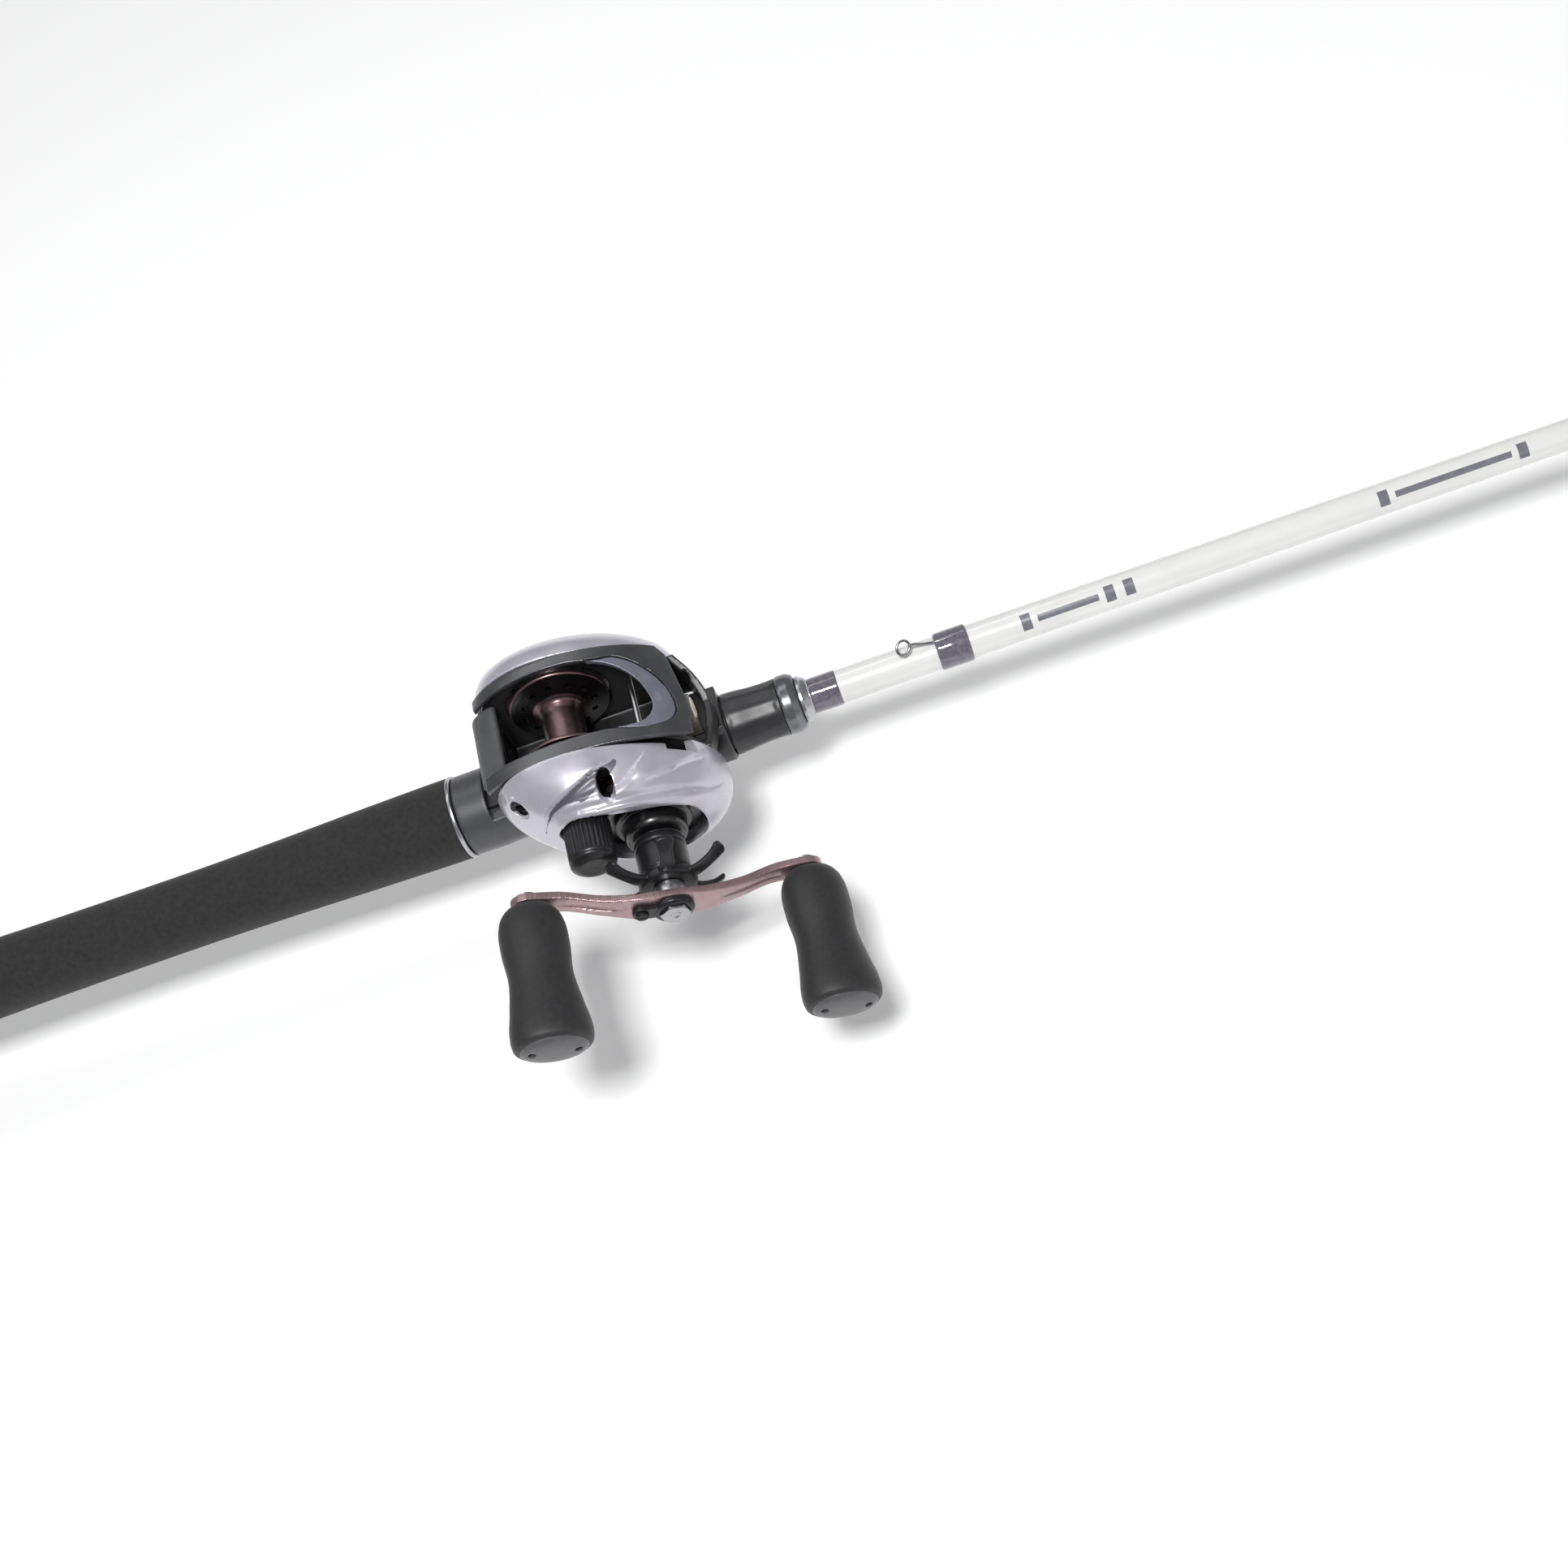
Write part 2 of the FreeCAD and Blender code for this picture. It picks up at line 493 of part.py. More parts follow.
def window_cutter():
    """Vertical prism of the spool window's outline, open to the rear over the thumb bar."""
    front = [(-8, 9.7), (8, 9.6), (18, 7.0), (24.5, 1.0), (27.4, -7.0), (26.9, -11.2),
             (24.4, -14.1), (20, -15.2), (14, -15.4)]
    curve = Part.BSplineCurve()
    curve.interpolate([vec(x, y, 20) for x, y in front])
    edges = [curve.toShape(), Part.makeLine(vec(14, -15.4, 20), vec(-45, -15.4, 20)),
             Part.makeLine(vec(-45, -15.4, 20), vec(-45, 9.7, 20)),
             Part.makeLine(vec(-45, 9.7, 20), vec(-8, 9.7, 20))]
    return Part.Face(Part.Wire(edges)).extrude(vec(0, 0, 40))


def left_plate():
    """Palm-side cover: a domed shell."""
    outer = lofted(LEFT_SECTIONS, LEFT_TILT)
    inner_sections = [(y, cx, cz, a, b) for y, cx, cz, a, b in LEFT_SECTIONS[:-1]]
    inner = lofted(inner_sections, LEFT_TILT, inset=SHELL, grow=-1)
    dial_hole = rod_y(DIAL_X, DIAL_Z, 4.05, 20, 40)
    return outer.cut(inner).cut(dial_hole)


def brake_dial():
    """Round dial set into the palm-side cover, on a stem with a cam disc."""
    profile = [(27.0, 0), (27.0, 6.9), (27.6, 7.2), (28.6, 6.8), (29.0, 6.2), (29.0, 0)]
    face = turned_y(DIAL_X, DIAL_Z, profile)
    stem = rod_y(DIAL_X, DIAL_Z, 4.0, 21.6, 27.5)
    flutes = [rod_y(DIAL_X + 7.8 * cos(i * pi / 8), DIAL_Z + 7.8 * sin(i * pi / 8), 1.1, 25, 32)
              for i in range(16)]
    return fuse([face, stem]).cut(group(flutes))


def brake_base():
    """Disc that closes the palm side and carries the spool's left bearing."""
    disc = ring_y(SPOOL_X, SPOOL_Z, SPOOL_R + 0.4, 4.05, 12.2, 13.4)
    cup = ring_y(SPOOL_X, SPOOL_Z, 5.2, 4.05, 13.2, 16.8)
    floor = ring_y(SPOOL_X, SPOOL_Z, 5.2, 1.9, 16.8, 17.6)
    return fuse([disc, cup, floor])


def magnet_ring():
    """Ring of brake magnets that the dial moves towards the spool."""
    return ring_y(SPOOL_X, SPOOL_Z, 10.4, 6.4, 17.9, 19.2)


def magnets():
    """Button magnets set into the ring."""
    places = [(SPOOL_X + 8.4 * cos(i * pi / 4), SPOOL_Z + 8.4 * sin(i * pi / 4)) for i in range(8)]
    return [rod_y(x, z, 1.3, 16.6, 17.85) for x, z in places]


def bearing(x, z, outer, inner, y0, y1):
    """Ball bearing drawn as its two races and a shielded middle."""
    middle = (outer + inner) / 2
    return fuse([ring_y(x, z, outer, middle + 0.45, y0, y1),
                 ring_y(x, z, middle - 0.45, inner, y0, y1),
                 ring_y(x, z, middle + 0.5, middle - 0.5, y0 + 0.25, y1 - 0.25)])


def right_plate():
    """Crank-side cover: a domed shell with an opening for the gear cover."""
    outer = lofted(RIGHT_SECTIONS, RIGHT_TILT)
    inner = lofted(RIGHT_SECTIONS[:-1], RIGHT_TILT, inset=SHELL, grow=1)
    opening = spline_prism(GEAR_OPENING, -40, -29)
    under_cowl = box(-40, 60, -20.7, -16, 28.2, 60)
    notch = [(24.0, 28.6), (28, 26.4), (38, 23.6), (60, 23.6), (60, 60), (32, 60), (30.0, 33.5)]
    seam = [(20, 31), (27, 26.8), (38, 23.6), (60, 23.6), (60, 60), (20, 60)]
    gaps = []
    for outline, low in ((notch, -22.6), (seam, -20.7)):
        corners = [vec(x, low, z) for x, z in outline]
        gaps.append(Part.Face(Part.makePolygon(corners + corners[:1])).extrude(vec(0, -16 - low, 0)))
    side_gap = group(gaps)
    recesses = [rod_y(x, z, 2.6, -40, SCREW_FACE) for x, z in COVER_SCREWS]
    posts = [rod_y(x, z, 3.4, SCREW_FACE - 1.2, -20.8) for x, z in COVER_SCREWS]
    bores = [rod_y(x, z, 1.3, -40, -15) for x, z in COVER_SCREWS]
    core = lofted(RIGHT_SECTIONS, RIGHT_TILT, inset=0.6)
    shell = outer.cut(inner).cut(opening).cut(under_cowl).cut(side_gap)
    for post in posts:
        shell = shell.fuse(post.common(core))
    gear_room = rod_y(DRIVE_X, DRIVE_Z, MODULE * DRIVE_TEETH / 2 + 0.9, -20, -25.1)
    for hole in recesses + bores + [gear_room]:
        shell = shell.cut(hole)
    return shell.removeSplitter()


def cover_screws():
    """Two recessed socket screws that hold the crank-side cover."""
    screws = []
    for x, z in COVER_SCREWS:
        head = rod_y(x, z, 2.4, SCREW_FACE - 2.1, SCREW_FACE - 0.1)
        socket = rod_y(x, z, 1.1, SCREW_FACE - 3, SCREW_FACE - 1.0)
        screws.append(head.fuse(rod_y(x, z, 1.2, SCREW_FACE - 0.5, RIGHT_OUT - 0.2)).cut(socket))
    return screws


def gear_cover():
    """Black cover in the opening, with the one-way bearing's boss and the cap's neck."""
    middle_x, middle_z = 13.5, 14.5
    outline = [(middle_x + (x - middle_x) * 0.985, middle_z + (z - middle_z) * 0.985)
               for x, z in GEAR_OPENING]
    plate = spline_prism(outline, -30.4, -32.4)
    profile = [(-28.4, 9.4), (-38.2, 9.4), (-39.6, 8.6), (-39.6, 0), (-28.4, 0)]
    boss = turned_y(DRIVE_X, DRIVE_Z, profile)
    neck = rod_y(SPOOL_X, SPOOL_Z, 5.6, -30.6, -41.0)
    body = fuse([plate, boss, neck])
    cuts = [rod_y(DRIVE_X, DRIVE_Z, 6.52, -27, -36.8), rod_y(DRIVE_X, DRIVE_Z, 4.2, -27, -42),
            rod_y(SPOOL_X, SPOOL_Z, 4.02, -36.0, -45), rod_y(SPOOL_X, SPOOL_Z, 3.2, -27, -45)]
    return body.cut(group(cuts))


# ---- reel: spool --------------------------------------------------------------------------
def spool():
    """Spool with a flared arbor, dished flanges and a ring of ports in each flange."""
    left, right = SPOOL_MID + SPOOL_HALF, SPOOL_MID - SPOOL_HALF
    body = turned_y(SPOOL_X, SPOOL_Z, [
        (left, SPOOL_R), (left - 1.2, SPOOL_R), (left - 1.9, 13.0), (left - 3.2, 8.6), (left - 4.4, 6.9),
        (left - 6.4, 6.3), (right + 6.4, 6.3), (right + 4.4, 6.9), (right + 3.2, 8.6), (right + 1.9, 13.0),
        (right + 1.2, SPOOL_R), (right, SPOOL_R), (right, 14.4), (right + 1.0, 12.2),
        (right + 2.2, 7.6), (right + 2.2, SHAFT_R), (left - 2.2, SHAFT_R), (left - 2.2, 7.6),
        (left - 1.0, 12.2), (left, 14.4)])
    turns = [i * pi / 6 for i in range(12)]
    ports = [rod_y(SPOOL_X + 10.6 * cos(a), SPOOL_Z + 10.6 * sin(a), 1.0, -20, 16) for a in turns]
    return body.cut(group(ports))


def spool_shaft():
    return turned_y(SPOOL_X, SPOOL_Z, [
        (18.6, 0), (18.6, SHAFT_R), (-17.4, SHAFT_R), (-17.4, PINION_SHAFT_R),
        (-40.6, PINION_SHAFT_R), (-41.2, 0.6), (-41.2, 0)])


def spool_pin():
    """Cross pin that the pinion's slot drives."""
    pin = Part.makeCylinder(0.5, 5.4, vec(SPOOL_X - 2.7, PIN_Y, SPOOL_Z), vec(1, 0, 0))
    return pin.cut(rod_y(SPOOL_X, SPOOL_Z, PINION_SHAFT_R + 0.01, PIN_Y - 2, PIN_Y + 2))


def brake_rotor():
    """Thin induction rotor on the spool's left face."""
    hub = ring_y(SPOOL_X, SPOOL_Z, 3.4, SHAFT_R, 8.0, 11.0)
    web = ring_y(SPOOL_X, SPOOL_Z, 11.4, 2.4, 10.9, 11.5)
    return fuse([hub, web])


# ---- reel: clutch -------------------------------------------------------------------------
def pinion():
    """Long pinion: slotted drive collar, teeth, neck for the yoke and an end collar."""
    slotted = rod_y(SPOOL_X, SPOOL_Z, 3.0, -17.7, -18.85)
    slot = box(SPOOL_X - 4, SPOOL_X + 4, -17.0, -19.1, SPOOL_Z - 0.6, SPOOL_Z + 0.6)
    phase = DRIVE_ANGLE + pi / PINION_TEETH
    teeth = gear(SPOOL_X, SPOOL_Z, PINION_TEETH, -18.8, -26.0, 0.5, phase, thin=0.02)
    neck = rod_y(SPOOL_X, SPOOL_Z, 1.85, -25.9, -28.3)
    collar = rod_y(SPOOL_X, SPOOL_Z, 2.9, -28.2, -29.6)
    body = fuse([slotted, teeth, neck, collar])
    return body.cut(slot).cut(rod_y(SPOOL_X, SPOOL_Z, PINION_SHAFT_R + RUN, -15, -32))


def clutch_yoke():
    """Yoke plate that carries the pinion in and out of the spool pin."""
    plate = fuse([box(SPOOL_X - 11, SPOOL_X + 3.4, -26.4, -27.9, SPOOL_Z - 1.5, SPOOL_Z + 5.6),
                  box(SPOOL_X - 2, SPOOL_X + 7.0, -26.4, -27.9, SPOOL_Z + 3.6, SPOOL_Z + 9.4)])
    mouth = fuse([rod_y(SPOOL_X, SPOOL_Z, 2.0, -25, -29),
                  box(SPOOL_X - 2.0, SPOOL_X + 2.0, -25, -29, SPOOL_Z - 8, SPOOL_Z)])
    holes = [rod_y(x, z, 1.2, -25, -29) for x, z in YOKE_POSTS]
    return plate.cut(mouth).cut(group(holes))


def yoke_springs():
    """Coil springs on the posts that push the yoke towards the spool, drawn as sleeves."""
    return group([ring_y(x, z, 1.8, 1.1, -28.0, -30.1) for x, z in YOKE_POSTS])


def thumb_bar():
    """Clutch bar across the rear of the window with a leg down each wall."""
    low, high = RIGHT_IN + 0.6, LEFT_IN - 1.7
    outline = [(-27.6, 29.4), (-26.2, 32.8), (-22.6, 35.4), (-19.3, 36.2), (-18.4, 35.0),
               (-19.4, 33.4), (-22.6, 31.6), (-25.4, 28.8)]
    top = spline_prism(outline, low, high)
    legs = [box(-23.4, -20.2, y0, y0 + 1.4, 25.8, 33.4) for y0 in (low, high - 1.4)]
    lug = box(-20.9, CAM_REAR + 1.8, RIGHT_OUT - 0.5, low + 0.2, 25.4, 28.0)
    link = box(-22.0, CAM_REAR + 1.8, low, low + 1.4, 25.4, 28.0)
    return fuse([top] + legs + [lug, link])


def clutch_cam():
    """Cam plate behind the frame wall; its ramps lift the yoke."""
    tail = box(CAM_REAR, -16.0, -17.7, -18.9, 24.2, 28.2)
    plate = box(-17.0, -6.8, -17.7, -18.9, 24.2, 27.4)
    ramp = box(-12.5, -8.0, -18.8, -20.0, 24.4, 27.2)
    return fuse([tail, plate, ramp])


# ---- reel: crank --------------------------------------------------------------------------
def drive_shaft():
    shaft = turned_y(DRIVE_X, DRIVE_Z, [(-15.6, 0), (-15.6, 1.7), (-18.4, 1.7), (-18.4, 2.6),
                                        (-58.0, 2.6), (-58.0, 2.3), (-64.4, 2.3), (-64.4, 0)])
    flats = [box(DRIVE_X - 4, DRIVE_X + 4, -36, -62.4, DRIVE_Z + side * 2.1, DRIVE_Z + side * 4)
             for side in (-1, 1)]
    return shaft.cut(group(flats))


def drive_gear():
    """Main gear, dished for the drag washers."""
    phase = DRIVE_ANGLE + pi
    body = gear(DRIVE_X, DRIVE_Z, DRIVE_TEETH, -21.2, -24.6, 2.65, phase)
    dish = ring_y(DRIVE_X, DRIVE_Z, 14.2, 2.0, -22.6, -25)
    turns = [i * pi / 9 for i in range(18)]
    holes = [rod_y(DRIVE_X + 15.8 * cos(a), DRIVE_Z + 15.8 * sin(a), 0.7, -20, -26) for a in turns]
    return body.cut(dish).cut(group(holes))


def drag_washers():
    """Two friction washers with a keyed steel washer between them, and a pressure plate."""
    stations = [(-22.65, -23.25, 14.0), (-23.3, -23.9, 13.8), (-23.95, -24.55, 14.0),
                (-24.65, -26.2, 9.5)]
    return group([ring_y(DRIVE_X, DRIVE_Z, r, 2.65, y0, y1) for y0, y1, r in stations])


def feed_gear():
    """Small gear on the crank shaft that turns the level-wind."""
    return gear(DRIVE_X, DRIVE_Z, FEED_TEETH, -18.9, -20.6, 2.65, WORM_ANGLE)


def one_way_sleeve():
    return ring_y(DRIVE_X, DRIVE_Z, 4.0, 2.62, -26.3, -40.4)


def one_way_bearing():
    """Anti-reverse roller bearing in the gear cover's boss."""
    return ring_y(DRIVE_X, DRIVE_Z, 6.5, 4.0 + RUN, -28.8, -36.6)


def star_arm(angle):
    """One swept arm: it leaves the foot of the hub and curves out and back towards the reel."""
    path = [(5.6, -55.0), (10.4, -55.0), (14.8, -53.6), (STAR_R, -51.0)]
    width = [5.4, 4.6, 4.2, 4.6]
    pieces = []
    for (r0, y0), (r1, y1), w0, w1 in zip(path, path[1:], width, width[1:]):
        corners = []
        for r, y, w in ((r0, y0, w0), (r1, y1, w1)):
            square = [vec(r, y - 0.9, -w / 2), vec(r, y + 0.9, -w / 2),
                      vec(r, y + 0.9, w / 2), vec(r, y - 0.9, w / 2)]
            corners.append(Part.makePolygon(square + square[:1]))
        pieces.append(Part.makeLoft(corners, True, True))
    arm = fuse(pieces)
    arm.rotate(vec(0, 0, 0), vec(0, 1, 0), degrees(angle))
    arm.translate(vec(DRIVE_X, 0, DRIVE_Z))
    return arm


def star_drag():
    """Drag star: a tall round hub with a ring of arms at its outer end."""
    hub = turned_y(DRIVE_X, DRIVE_Z, [
        (-40.8, 7.0), (-41.6, STAR_HUB_R), (-51.8, STAR_HUB_R), (-52.6, 7.0), (-53.4, 7.0),
        (-53.9, 8.6), (-55.6, 8.6), (-56.2, 8.0), (-56.2, 2.75), (-40.8, 2.75)])
    arms = [star_arm(STAR_PHASE + 2 * pi * i / STAR_ARMS) for i in range(STAR_ARMS)]
    bore = rod_y(DRIVE_X, DRIVE_Z, 2.6 + RUN, -35, -60)
    return fuse([hub] + arms).cut(bore)


def drag_spacer():
    """Spacer sleeve and click plate between the star and the crank arm."""
    return ring_y(DRIVE_X, DRIVE_Z, 4.4, 2.65, -56.5, ARM_MID + 0.05)


def arm_path():
    """Middle line of half the crank arm: (distance from the axis, y of the inner face)."""
    return [(0, ARM_MID), (9, ARM_MID), (20, ARM_MID + 0.35 * ARM_SWEEP),
            (31, ARM_MID + 0.9 * ARM_SWEEP), (CRANK_HALF, ARM_MID + ARM_SWEEP)]


def crank_arm():
    """Double arm of bent plate, wide at the middle and round at its ends."""
    upper = [(-CRANK_HALF, 3.9), (-24, 3.6), (-9, 5.6), (9, 5.6), (24, 3.6), (CRANK_HALF, 3.9)]
    plan = [vec(d, 0, w) for d, w in upper + [(d, -w) for d, w in reversed(upper)]]
    outline = Part.Face(Part.makePolygon(plan + plan[:1])).extrude(vec(0, -90, 0))
    ends = [rod_y(side * CRANK_HALF, 0, 4.6, -90, 0) for side in (-1, 1)]
    outline = fuse([outline] + ends)
    half = arm_path()
    half.append((CRANK_HALF + 6, ARM_MID + ARM_SWEEP))
    side_view = [(-d, y) for d, y in reversed(half)] + half[1:]
    inner = [vec(d, y, -10) for d, y in side_view]
    outer = [vec(d, y - ARM_T, -10) for d, y in reversed(side_view)]
    slab = Part.Face(Part.makePolygon(inner + outer + inner[:1])).extrude(vec(0, 0, 20))
    arm = slab.common(outline)
    slot = box(-2.7, 2.7, -90, 0, -2.2, 2.2).common(rod_y(0, 0, 2.7, -90, 0))
    slot = slot.fuse(rod_y(0, 0, 2.35, -90, 0))
    posts = [rod_y(side * CRANK_HALF, 0, POST_R + 0.02, -90, 0) for side in (-1, 1)]
    arm = arm.cut(group([slot] + posts))
    return crank_place(arm)


def crank_place(shape):
    """Turn a piece drawn along X about the crank axis and move it to its place."""
    shape.rotate(vec(0, 0, 0), vec(0, 1, 0), degrees(CRANK_TILT))
    shape.translate(vec(DRIVE_X, 0, DRIVE_Z))
    return shape


def hexagon_y(across, y0, y1):
    reach = across / sqrt(3)
    turns = [i * pi / 3 for i in range(7)]
    corners = [vec(reach * cos(a), y0, reach * sin(a)) for a in turns]
    return Part.Face(Part.makePolygon(corners)).extrude(vec(0, y1 - y0, 0))


def handle_nut():
    outside = ARM_MID - ARM_T
    nut = hexagon_y(8.0, outside - 0.02, outside - 3.2).cut(rod_y(0, 0, 2.35, -90, 0))
    return crank_place(nut)


def nut_retainer():
    """Cap plate locked over the nut, with an ear for its screw."""
    outside = ARM_MID - ARM_T
    body = fuse([rod_y(0, 0, 5.9, outside - 0.02, outside - 2.2),
                 rod_y(-9.4, 0, 2.7, outside - 0.02, outside - 1.6),
                 box(-9.4, 0, outside - 0.02, outside - 1.6, -2.7, 2.7)])
    hole = hexagon_y(8.1, outside, outside - 5).fuse(rod_y(-9.4, 0, 1.05, -90, 0))
    return crank_place(body.cut(hole))


def retainer_screw():
    outside = ARM_MID - ARM_T
    head = rod_y(-9.4, 0, 1.9, outside - 1.65, outside - 2.7)
    head = head.cut(box(-9.4 - 2, -9.4 + 2, outside - 2.3, outside - 3, -0.3, 0.3))
    return crank_place(fuse([head, rod_y(-9.4, 0, 1.0, outside - 0.05, outside - 1.7)]))


def knob_posts():
    """Posts riveted into the arm's ends."""
    inner = ARM_MID + ARM_SWEEP
    posts = []
    for side in (-1, 1):
        pin = rod_y(side * CRANK_HALF, 0, POST_R, inner + 0.5, KNOB_START - 34.6)
        head = rod_y(side * CRANK_HALF, 0, 3.1, inner + 0.02, inner + 0.9)
        posts.append(pin.fuse(head))
    return crank_place(group(posts))


def knob_grip():
    """Waisted oval foam grip, drawn on the Y axis."""
    wires = []
    for along, wide, deep in KNOB_PROFILE:
        y = KNOB_START - along
        wires.append(Part.Wire([Part.Ellipse(vec(wide, y, 0), vec(0, y, deep), vec(0, y, 0)).toShape()]))
    grip = Part.makeLoft(wires, True, False)
    return grip.cut(rod_y(0, 0, 3.52, KNOB_START + 1, KNOB_START - 36))


def knob_bushings():
    """Bush at each end of the knob's bore."""
    starts = [KNOB_START - 1.1, KNOB_START - 31.0]
    return group([ring_y(0, 0, 3.5, POST_R + RUN, y, y - 3.0) for y in starts])


def knob_cap():
    """Hard end plate of the knob with two blind spanner holes."""
    end = KNOB_START - KNOB_PROFILE[-1][0]
    wires = []
    for along, wide, deep in [(0.05, 9.4, 6.9), (1.0, 9.0, 6.4), (KNOB_LEN - 43.6, 8.0, 5.2)]:
        y = end - along
        wires.append(Part.Wire([Part.Ellipse(vec(wide, y, 0), vec(0, y, deep), vec(0, y, 0)).toShape()]))
    cap = Part.makeLoft(wires, True, False)
    return cap.cut(group([rod_y(side * 6.3, 0, 1.0, end - 0.9, end - 5) for side in (-1, 1)]))


def at_knob(shape, side):
    """Place a knob piece on one end of the crank; side 1 is the front end."""
    shape.translate(vec(side * CRANK_HALF, 0, 0))
    return crank_place(shape)


# ---- reel: cast control -------------------------------------------------------------------
def cast_cap():
    """Knurled cap over the neck."""
    cup = turned_y(SPOOL_X, SPOOL_Z, [
        (-34.6, 6.3), (-35.2, CAP_R), (-46.8, CAP_R), (CAP_END + 0.9, 6.2), (CAP_END, 4.8),
        (CAP_END, 0), (-42.4, 0), (-42.4, 5.68), (-34.6, 5.68)])
    reach = CAP_R + 0.5
    turns = [i * pi / 12 for i in range(24)]
    knurls = [rod_y(SPOOL_X + reach * cos(a), SPOOL_Z + reach * sin(a), 0.75, -36.2, -46.2) for a in turns]
    return cup.cut(group(knurls))


def tension_shim():
    return rod_y(SPOOL_X, SPOOL_Z, 3.6, -41.5, -42.3)


# ---- reel: level-wind ---------------------------------------------------------------------
def worm_shaft():
    """Worm with its cross grooves drawn as rings, and plain ends in the frame's walls."""
    body = turned_y(WORM_X, WORM_Z, [
        (LEFT_OUT - 0.1, 0), (LEFT_OUT - 0.1, 1.5), (LEFT_IN - 0.3, 1.5), (LEFT_IN - 0.3, 2.8),
        (RIGHT_IN + 0.3, 2.8), (RIGHT_IN + 0.3, 1.5), (-20.9, 1.5), (-20.9, 0)])
    grooves = [ring_y(WORM_X, WORM_Z, 4.0, 2.3, y, y + 0.9) for y in range(-12, 9, 3)]
    return body.cut(group(grooves))


def worm_gear():
    phase = WORM_ANGLE + pi + pi / WORM_TEETH
    return gear(WORM_X, WORM_Z, WORM_TEETH, -18.9, -20.6, 1.52, phase)


def worm_shield():
    """Slotted tube round the worm that the line guide rides on."""
    tube = ring_y(WORM_X, WORM_Z, 3.8, 3.1, RIGHT_IN + 0.05, LEFT_IN - 0.05)
    slot = box(WORM_X - 1.3, WORM_X + 1.3, RIGHT_IN + 1.6, LEFT_IN - 1.6, WORM_Z - 5, WORM_Z - 2)
    return tube.cut(slot)


def line_guide():
    """Carriage on the worm shield with an upright that holds the line ring."""
    sleeve = rod_y(WORM_X, WORM_Z, 5.0, GUIDE_Y - 3.2, GUIDE_Y + 3.2)
    upright = box(33.6, 37.0, GUIDE_Y - 4.4, GUIDE_Y + 4.4, WORM_Z - 1, RING_Z + 4.6)
    stem = box(33, 38, GUIDE_Y - 3.2, GUIDE_Y + 3.2, WORM_Z - 1, RING_Z)
    holder = upright.common(rod_x(4.9, 33, 38, GUIDE_Y, RING_Z).fuse(stem))
    bridge = box(WORM_X, 35, GUIDE_Y - 3.2, GUIDE_Y + 3.2, WORM_Z - 1, WORM_Z + 4.4)
    body = fuse([sleeve, holder, bridge])
    cuts = [rod_y(WORM_X, WORM_Z, 3.8 + RUN, GUIDE_Y - 6, GUIDE_Y + 6),
            rod_x(3.4, 30, 40, GUIDE_Y, RING_Z),
            Part.makeCylinder(1.25, 6, vec(WORM_X, GUIDE_Y, WORM_Z - 8), vec(0, 0, 1))]
    return body.cut(group(cuts))


def line_ring():
    """Ceramic ring that the line runs through."""
    ring = turned_x([(-1.6, 3.35), (1.6, 3.35), (2.0, 2.9), (1.3, 2.3), (0.6, 2.1), (-0.6, 2.1),
                     (-1.3, 2.3), (-2.0, 2.9)], z=RING_Z, x=RING_X)
    ring.translate(vec(0, GUIDE_Y, 0))
    return ring


def pawl():
    """Pawl under the carriage; its head reaches through the shield's slot."""
    return fuse([Part.makeCylinder(1.2, 2.4, vec(WORM_X, GUIDE_Y, WORM_Z - 5.3), vec(0, 0, 1)),
                 Part.makeCylinder(0.8, 2.3, vec(WORM_X, GUIDE_Y, WORM_Z - 5.2), vec(0, 0, 1))])


